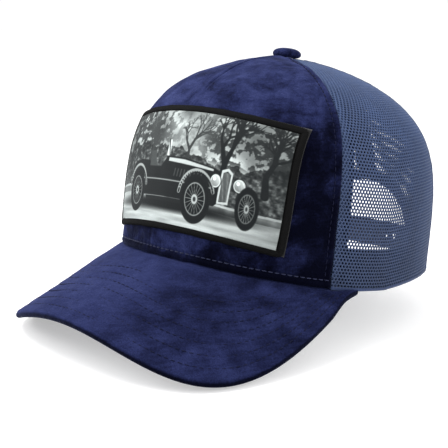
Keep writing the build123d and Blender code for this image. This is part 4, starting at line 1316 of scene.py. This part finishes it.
    def poly(pts, value, soft=0.0025):
        pts = np.array(pts, float)
        x0, y0 = pts[:, 0], pts[:, 1]
        x1, y1 = np.roll(x0, -1), np.roll(y0, -1)
        inside = np.zeros((h, w), bool)
        dist = np.full((h, w), 9.0)
        for a, b, c, d in zip(x0, y0, x1, y1):
            cond = ((b > Y) != (d > Y)) & (X < (c - a) * (Y - b) / (d - b + 1e-12) + a)
            inside ^= cond
            vx, vy = c - a, d - b
            t = np.clip(((X - a) * vx + (Y - b) * vy) / (vx * vx + vy * vy + 1e-12), 0, 1)
            dist = np.minimum(dist, np.hypot(X - (a + vx * t), Y - (b + vy * t)))
        sd = np.where(inside, dist, -dist)
        blend(np.clip(sd / soft + 0.5, 0, 1), value)

    # shadow under the car
    ellipse(0.98, 0.175, 0.78, 0.055, 0.10, 0.05)
    # body: long bonnet to the right, open cockpit, short tail
    tone = 0.09 + 0.05 * fn(20, 8, 9, 3)
    poly([(0.24, 0.40), (0.30, 0.53), (0.44, 0.56), (0.60, 0.55), (0.66, 0.50), (0.80, 0.50), (0.88, 0.60), (1.10, 0.60), (1.42, 0.565), (1.50, 0.54), (1.53, 0.30), (1.46, 0.24), (0.46, 0.24), (0.30, 0.28)], tone)
    poly([(0.90, 0.585), (1.10, 0.585), (1.42, 0.552), (1.42, 0.535), (0.90, 0.555)], 0.72)
    poly([(0.28, 0.395), (1.45, 0.395), (1.45, 0.383), (0.28, 0.383)], 0.55)
    for k in range(9):
        poly([(1.00 + 0.038 * k, 0.50), (1.012 + 0.038 * k, 0.50), (1.004 + 0.038 * k, 0.43), (0.992 + 0.038 * k, 0.43)], 0.30)
    # windscreen and seat
    poly([(0.86, 0.60), (0.905, 0.60), (0.875, 0.74), (0.845, 0.74)], 0.80)
    seg(0.845, 0.742, 0.90, 0.595, 0.006, 0.006, 0.15)
    poly([(0.62, 0.50), (0.60, 0.635), (0.68, 0.64), (0.735, 0.50)], 0.30)
    # grille with bars, seen a little from the side
    poly([(1.49, 0.27), (1.50, 0.56), (1.555, 0.585), (1.60, 0.55), (1.59, 0.28)], 0.78)
    poly([(1.508, 0.29), (1.516, 0.54), (1.553, 0.56), (1.585, 0.535), (1.577, 0.30)], 0.16)
    for k in range(6):
        seg(1.518 + 0.011 * k, 0.30, 1.525 + 0.010 * k, 0.545, 0.0022, 0.0022, 0.62)
    # lamps
    for cx in (1.455, 1.665):
        seg(cx, 0.40, cx - 0.01, 0.34, 0.008, 0.008, 0.2)
        ellipse(cx, 0.46, 0.055, 0.064, 0.10)
        ellipse(cx, 0.46, 0.048, 0.056, 0.88)
        glass = 0.46 + 0.40 * np.clip((X - cx) * 6 + (Y - 0.46) * 7 + 0.5, 0, 1) + 0.10 * np.sin(X * 520)
        ellipse(cx, 0.46, 0.040, 0.047, glass)
        ellipse(cx - 0.012, 0.478, 0.014, 0.016, 0.97)
    # running board and wings
    poly([(0.60, 0.235), (1.16, 0.235), (1.14, 0.200), (0.62, 0.200)], 0.14)

    def wheel(cx, cy, rx, ry):
        tread = 0.05 + 0.11 * (np.sin(np.arctan2((Y - cy) * rx / ry, X - cx) * 84) > 0.2) * (np.hypot((X - cx) / rx, (Y - cy) / ry) > 0.9)
        ellipse(cx, cy, rx, ry, tread)
        ellipse(cx, cy, rx * 0.88, ry * 0.88, 0.085)
        ellipse(cx, cy, rx * 0.68, ry * 0.68, 0.62)
        ellipse(cx, cy, rx * 0.63, ry * 0.63, 0.07)
        for k in range(18):
            a = k * 2 * math.pi / 18
            seg(cx, cy, cx + rx * 0.63 * math.cos(a), cy + ry * 0.63 * math.sin(a), 0.0024, 0.0018, 0.60)
        ellipse(cx, cy, rx * 0.20, ry * 0.20, 0.72)
        ellipse(cx, cy, rx * 0.10, ry * 0.10, 0.25)

    for (cx, cy, rx, ry) in ((0.42, 0.275, 0.150, 0.195), (1.27, 0.265, 0.160, 0.215), (1.745, 0.285, 0.092, 0.185)):
        # wing over the wheel
        for a0 in np.linspace(0.15, math.pi - 0.15, 14):
            pass
        wheel(cx, cy, rx, ry)
    arcs = ((0.42, 0.285, 0.176, 0.222, 0.25, 2.9), (1.27, 0.275, 0.188, 0.240, 0.35, 3.0))
    for cx, cy, rx, ry, a0, a1 in arcs:
        aa = np.linspace(a0, a1, 22)
        for p, q in zip(aa[:-1], aa[1:]):
            seg_box(cx + rx * math.cos(p), cy + ry * math.sin(p), cx + rx * math.cos(q), cy + ry * math.sin(q), 0.016, 0.016, 0.62)
            seg_box(cx + rx * math.cos(p), cy + (ry - 0.014) * math.sin(p), cx + rx * math.cos(q), cy + (ry - 0.014) * math.sin(q), 0.008, 0.008, 0.08)
    # light grain and softened corners, as in an old print
    img = img + 0.035 * (fn(260, 130, 12, 2) - 0.5)
    vig = 1 - 0.16 * ((X - 1) ** 2 + (2 * Y - 1) ** 2 * 0.6)
    img = np.clip(img * vig, 0.02, 0.98)
    img = np.clip(1.12 * img ** 1.22 - 0.015, 0.02, 0.97)
    return img.reshape(H, SS, W, SS).mean((1, 3))


def make_patch():
    # printed face
    NX, NY = 430, 222
    fx = np.linspace(-1, 1, NX); fy = np.linspace(0, 1, NY)
    FX, FY = np.meshgrid(fx, fy, indexing="ij")
    phi, s = patch_point(FX, FY, BORDER - 0.2)
    rip = 0.10 * waves(crown(phi, s), 26, 101)
    P = crown(phi, s, 1.55 + rip)
    pic = make_picture(NX, NY)            # rows from the top
    val = pic[::-1].T                     # fx, fy
    F = grid_faces(NX, NY)
    # thin skirt under the edge
    V = P.reshape(-1, 3)
    ob = add_object("patch_picture", V, F, None_mat, uv=np.stack([FX * 63, FY * 59], -1).reshape(-1, 2))
    ob.data.materials.clear(); ob.data.materials.append(M_PRINT)
    layer = ob.data.color_attributes.new("picture", "FLOAT_COLOR", "POINT")
    c = np.ones((NX * NY, 4)); c[:, :3] = (val.reshape(-1, 1)) ** 2.2
    layer.data.foreach_set("color", c.ravel())
    sol = ob.modifiers.new("thick", "SOLIDIFY"); sol.thickness = 0.0004; sol.offset = -1.0
    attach(ob, "crown"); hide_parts("patch_print")
    # base cloth
    fx = np.linspace(-1, 1, 120); fy = np.linspace(0, 1, 60)
    FX, FY = np.meshgrid(fx, fy, indexing="ij")
    phi, s = patch_point(FX, FY, 0.3)
    a = crown(phi, s, 0.85); b = crown(phi, s, 0.15)
    L = np.concatenate([a, b[:, ::-1]], 1)
    ob = ring_sheet("patch_base", L, M_PATCHCLOTH)
    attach(ob, "crown"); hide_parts("patch_backing")
    # rolled overlocked border: one rope of slanted threads round the edge
    n = 260
    lines = []
    inset = BORDER / 2
    t = np.linspace(-1, 1, n)
    k = 1 - 1.4 / PATCH_W
    seg_pts = []
    for (ax, ay) in ((t, np.zeros(n)), (np.ones(n // 2), np.linspace(0, 1, n // 2)), (t[::-1], np.ones(n)), (-np.ones(n // 2), np.linspace(1, 0, n // 2))):
        seg_pts.append(np.stack([ax, ay], -1))
    path = np.concatenate(seg_pts)
    phi, s = patch_point(path[:, 0], path[:, 1], inset)
    C = crown(phi, s, 1.5)
    # even spacing and rounded corners
    d = np.concatenate([[0], np.cumsum(np.linalg.norm(np.diff(np.vstack([C, C[:1]]), axis=0), axis=1))])
    total = d[-1]
    count = int(total * 1000 / 0.19)
    u = np.linspace(0, total, count, endpoint=False)
    pp = np.vstack([phi, s]).T
    pp = np.vstack([pp, pp[:1]])
    PHI2 = np.interp(u, d, pp[:, 0]); S2 = np.interp(u, d, pp[:, 1])
    ker = np.exp(-(np.arange(-16, 17) / 7.0) ** 2); ker /= ker.sum()

    def circ(v):
        return np.convolve(np.concatenate([v[-16:], v, v[:16]]), ker, "valid")
    PHI2, S2 = circ(PHI2), circ(S2)
    C = crown(PHI2, S2, 1.30)
    N = outward(PHI2, S2)
    T = np.roll(C, -1, 0) - np.roll(C, 1, 0); T /= np.linalg.norm(T, axis=1)[:, None]
    A = np.cross(T, N); A /= np.linalg.norm(A, axis=1)[:, None]
    sides = 14
    th = np.linspace(0, 2 * math.pi, sides, endpoint=False)
    along = np.arange(count)[:, None] * 0.19
    ridge = 1 + 0.075 * np.cos(2 * math.pi * (along / 0.95 + np.cos(th)[None, :] * 0.55))
    slow = 1 + 0.03 * np.sin(along / 3.1) + 0.02 * np.sin(along / 1.3 + 1)
    w = (BORDER / 2 + 0.05) * MM; hgt = 0.95 * MM
    P = C[:, None] + (np.cos(th)[None, :, None] * w * (ridge * slow)[..., None]) * A[:, None] + (np.sin(th)[None, :, None] * hgt * (ridge * slow)[..., None]) * N[:, None]
    uv = np.stack([np.broadcast_to(along, ridge.shape), np.broadcast_to(th[None, :] * 1.8, ridge.shape)], -1)
    ob = ring_sheet("patch_rolled_edge", P, M_MERROW, uv=uv, closed_rows=True)
    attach(ob, "crown"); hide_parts("patch_border")


def print_material():
    M = Mat("patch_satin")
    a = M.node("ShaderNodeAttribute", attribute_type="GEOMETRY", attribute_name="picture")
    uv = M.sep(M.tc.outputs["UV"])
    k = 2 * math.pi / 0.42
    weave = M.math("MULTIPLY", M.math("SINE", M.math("MULTIPLY", M.math("ADD", uv[0], M.math("MULTIPLY", uv[1], 0.5)), k)), M.math("SINE", M.math("MULTIPLY", uv[1], k)))
    weave = M.math("MULTIPLY_ADD", weave, 0.5, 0.5)
    tint = M.mix(1.0, a.outputs["Color"], (0.90, 0.985, 0.965), "MULTIPLY")
    lift = M.mix(1.0, tint, (0.010, 0.012, 0.013), "ADD")
    grain = M.ramp(weave, [(0.0, (0.90,)), (1.0, (1.06,))])
    col = M.mix(1.0, lift, grain, "MULTIPLY")
    M.link(col, M.b.inputs["Base Color"])
    M.set(Roughness=0.6)
    M.b.inputs["Specular IOR Level"].default_value = 0.07
    M.b.inputs["Sheen Weight"].default_value = 0.0
    M.link(M.bump(weave, 0.35, 0.00010), M.b.inputs["Normal"])
    return M.done()


M_PRINT = print_material()
None_mat = M_PRINT
make_patch()


# ---------------------------------------------------------------------------
# snap straps: each one moulding with its sewn tab; the strap with holes bends outward at the root
# ---------------------------------------------------------------------------
STRAP_Z, STRAP_W, STRAP_T = 9.0, 17.0, 1.2
ROOT, TIP, TAB_END = 37.5, 22.0, 55.0
SNAP_PITCH, SNAP_FIRST, HOLE_R, PEG_R = 8.8, -15.5, 2.55, 1.9
SEWN = 2.9


def strap_frame(x, depth):
    a = np.radians(back_angle(x))
    e = 0.002
    pa = np.stack([plan_radius(a - e) * np.sin(a - e), -plan_radius(a - e) * np.cos(a - e)], -1)
    pb = np.stack([plan_radius(a + e) * np.sin(a + e), -plan_radius(a + e) * np.cos(a + e)], -1)
    t = pb - pa
    t /= np.linalg.norm(t, axis=-1)[..., None]
    n = np.stack([t[..., 1], -t[..., 0]], -1)
    r = plan_radius(a)
    p = np.stack([r * np.sin(a), -r * np.cos(a)], -1)
    n *= np.sign((n * p).sum(-1))[..., None]
    return p - np.asarray(depth)[..., None] * n, n


def strap_depth(x, outer):
    if not outer:
        return np.full(np.shape(x), SEWN)
    f = smooth((ROOT - np.asarray(x, float)) / 15.0)
    return SEWN + (1.2 - SEWN) * f


def strap_point(x, z, off, outer):
    p, n = strap_frame(x, strap_depth(x, outer) - off)
    return world(p[..., 0], p[..., 1], z)


def strap_mesh(name, sign, outer, holes, node_main, node_tab, body):
    """Flat outline with holes, filled with triangles, then bent on the crown. sign +1: root on the wearer's left."""
    z0, z1 = STRAP_Z, STRAP_Z + STRAP_W
    zc = (z0 + z1) / 2
    half = STRAP_W / 2
    import bmesh
    bm = bmesh.new()
    # flat outline in (x, z), x counted towards the tip
    tip_x = -TIP
    outline = []
    for a in np.linspace(-90, 90, 25):
        outline.append((tip_x + half - half * math.cos(rad(a)), zc + half * math.sin(rad(a))))
    # tip arc runs from low z to high z at the far end; then along the top to the tab and back
    top = [(x, z1) for x in np.linspace(tip_x + half + 1.2, TAB_END - 1.5, 56)]
    end = [(TAB_END, z) for z in np.linspace(z1 - 1.5, z0 + 1.5, 12)]
    low = [(x, z0) for x in np.linspace(TAB_END - 1.5, tip_x + half + 1.2, 56)]
    pts = outline + top + end + low
    rings = [pts]
    hole_list = []
    if holes:
        for i in range(6):
            hole_list.append((SNAP_FIRST + i * SNAP_PITCH, zc, HOLE_R))
    for (hx, hz, hr) in hole_list:
        rings.append([(hx + hr * math.cos(a), hz + hr * math.sin(a)) for a in np.linspace(0, 2 * math.pi, 24, endpoint=False)])
    edges = []
    for ring in rings:
        vs = [bm.verts.new((x, 0, z)) for x, z in ring]
        for a, b in zip(vs, vs[1:] + vs[:1]):
            edges.append(bm.edges.new((a, b)))
    bmesh.ops.triangle_fill(bm, use_beauty=True, use_dissolve=False, edges=edges)
    # finer triangles so that it bends smoothly
    for _ in range(2):
        long_e = [e for e in bm.edges if e.calc_length() > 2.2]
        if long_e:
            bmesh.ops.subdivide_edges(bm, edges=long_e, cuts=1, use_grid_fill=False)
            bmesh.ops.triangulate(bm, faces=bm.faces[:])
    bm.verts.ensure_lookup_table(); bm.faces.ensure_lookup_table()
    xy = np.array([(v.co.x, v.co.z) for v in bm.verts])
    tri = [[v.index for v in f.verts] for f in bm.faces]
    bm.verts.index_update()
    tri = [[v.index for v in f.verts] for f in bm.faces]
    border = [(e.verts[0].index, e.verts[1].index) for e in bm.edges if len(e.link_faces) == 1]
    bm.free()
    n = len(xy)
    # rounded border: the faces are drawn in a little at the border
    bset = np.zeros(n, bool)
    for a, b in border:
        bset[a] = bset[b] = True
    X = xy[:, 0]
    thick = np.where(bset, STRAP_T / 2 - 0.16, STRAP_T / 2)
    rail = np.clip((np.abs(xy[:, 1] - zc) - (half - 1.9)) / 0.6, 0, 1) * 0.18 * (X < ROOT)
    xs = X * sign
    front_pts = strap_point(xs, xy[:, 1], thick + rail * (0 if not outer else 1), outer)
    back_pts = strap_point(xs, xy[:, 1], -thick, outer)
    V = np.concatenate([front_pts, back_pts])
    F = [list(t) for t in tri] + [[i + n for i in t][::-1] for t in tri]
    F += [[a, b, b + n, a + n] for a, b in border]
    uvs = np.concatenate([xy, xy])
    # pegs
    if not holes:
        for i in range(6):
            cx = SNAP_FIRST + (3 - i) * SNAP_PITCH
            p, nn = strap_frame(np.array([cx]), np.array([SEWN]))
            p, nn = p[0], nn[0]
            prof = [(PEG_R * 1.16, 0.5), (PEG_R * 0.98, 0.75), (PEG_R * 0.93, 1.5), (PEG_R * 0.96, 1.9), (PEG_R * 1.13, 2.15), (PEG_R * 1.16, 2.4), (PEG_R * 1.0, 2.7), (PEG_R * 0.6, 2.86), (0.25, 2.9)]
            tx, ty = -nn[1], nn[0]
            m = 24
            base = len(V)
            new = []
            for (rr, hh) in prof:
                for k in range(m):
                    a = 2 * math.pi * k / m
                    dx, dz = rr * math.cos(a), rr * math.sin(a)
                    new.append((p[0] + nn[0] * hh + tx * dx, p[1] + nn[1] * hh + ty * dx, zc + dz))
            new = np.array(new)
            V = np.concatenate([V, world(new[:, 0], new[:, 1], new[:, 2])])
            uvs = np.concatenate([uvs, new[:, [0, 2]]])
            G = grid_faces(len(prof), m, wrap_cols=True) + base
            F += G.tolist()
            F.append([base + (len(prof) - 1) * m + k for k in range(m)])
            F.append([base + k for k in range(m)][::-1])
    ob = add_object(name, V, F, M_STRAP, uv=uvs)
    fix_normals(ob)
    return ob


def cap_point(x, off=0.0, z=17.5, outer=True):
    return strap_point(np.array([x]), np.array([z]), off, outer)[0]


left_strap = strap_mesh("snap_strap_holes", 1, True, True, "strap_holes", "strap_holes_tab", "strap_left")
right_strap = strap_mesh("snap_strap_pegs", -1, False, False, "strap_pegs", "strap_pegs_tab", "strap_right")
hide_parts("strap_holes", "strap_holes_tab")
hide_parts("strap_pegs", "strap_pegs_tab")
tuple(cap_point(39.0))
tuple(cap_point(34.0))
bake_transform(left_strap)
tuple(cap_point(-39.0, outer=False))
tuple(cap_point(-34.0, outer=False))
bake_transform(right_strap)

# ---------------------------------------------------------------------------
# floor, light
# ---------------------------------------------------------------------------
FLOOR_Z = cad_box[0][2] - 0.0015


def stage():
    M = Mat("floor")
    n = M.noise(M.coord(), 900, 2.0, 0.5)
    M.link(M.ramp(n, [(0.3, (0.70, 0.70, 0.705)), (0.7, (0.72, 0.72, 0.725))]), M.b.inputs["Base Color"])
    M.b.inputs["Emission Color"].default_value = (1, 1, 1, 1)
    M.b.inputs["Emission Strength"].default_value = 0.40
    M.set(Roughness=0.9)
    M.b.inputs["Specular IOR Level"].default_value = 0.1
    me = bpy.data.meshes.new("floor")
    s = 12.0
    me.from_pydata([(-s, -s, FLOOR_Z), (s, -s, FLOOR_Z), (s, s, FLOOR_Z), (-s, s, FLOOR_Z)], [], [(0, 1, 2, 3)])
    me.materials.append(M.done())
    ob = bpy.data.objects.new("floor", me)
    scene.collection.objects.link(ob)

    wd = bpy.data.worlds.new("world")
    scene.world = wd
    wd.use_nodes = True
    bg = wd.node_tree.nodes["Background"]
    bg.inputs[0].default_value = (1.0, 1.0, 1.0, 1)
    bg.inputs[1].default_value = 1.02

    def area(name, loc, target, size, power, color=(1, 1, 1)):
        d = bpy.data.lights.new(name, "AREA")
        d.shape = "DISK"; d.size = size; d.energy = power; d.color = color
        o = bpy.data.objects.new(name, d)
        o.location = loc
        o.rotation_euler = (Vector(target) - Vector(loc)).to_track_quat("-Z", "Y").to_euler()
        scene.collection.objects.link(o)
    area("top_light", (-0.35, -0.30, 1.15), (0, 0, 0.05), 0.8, 12)
    area("key_light", (-0.95, -0.75, 0.60), (0, -0.02, 0.05), 0.6, 9)
    area("right_light", (1.25, 0.25, 0.60), (0, 0.03, 0.06), 0.7, 7)
    scene.view_settings.view_transform = "Standard"
    scene.view_settings.look = "None"


stage()
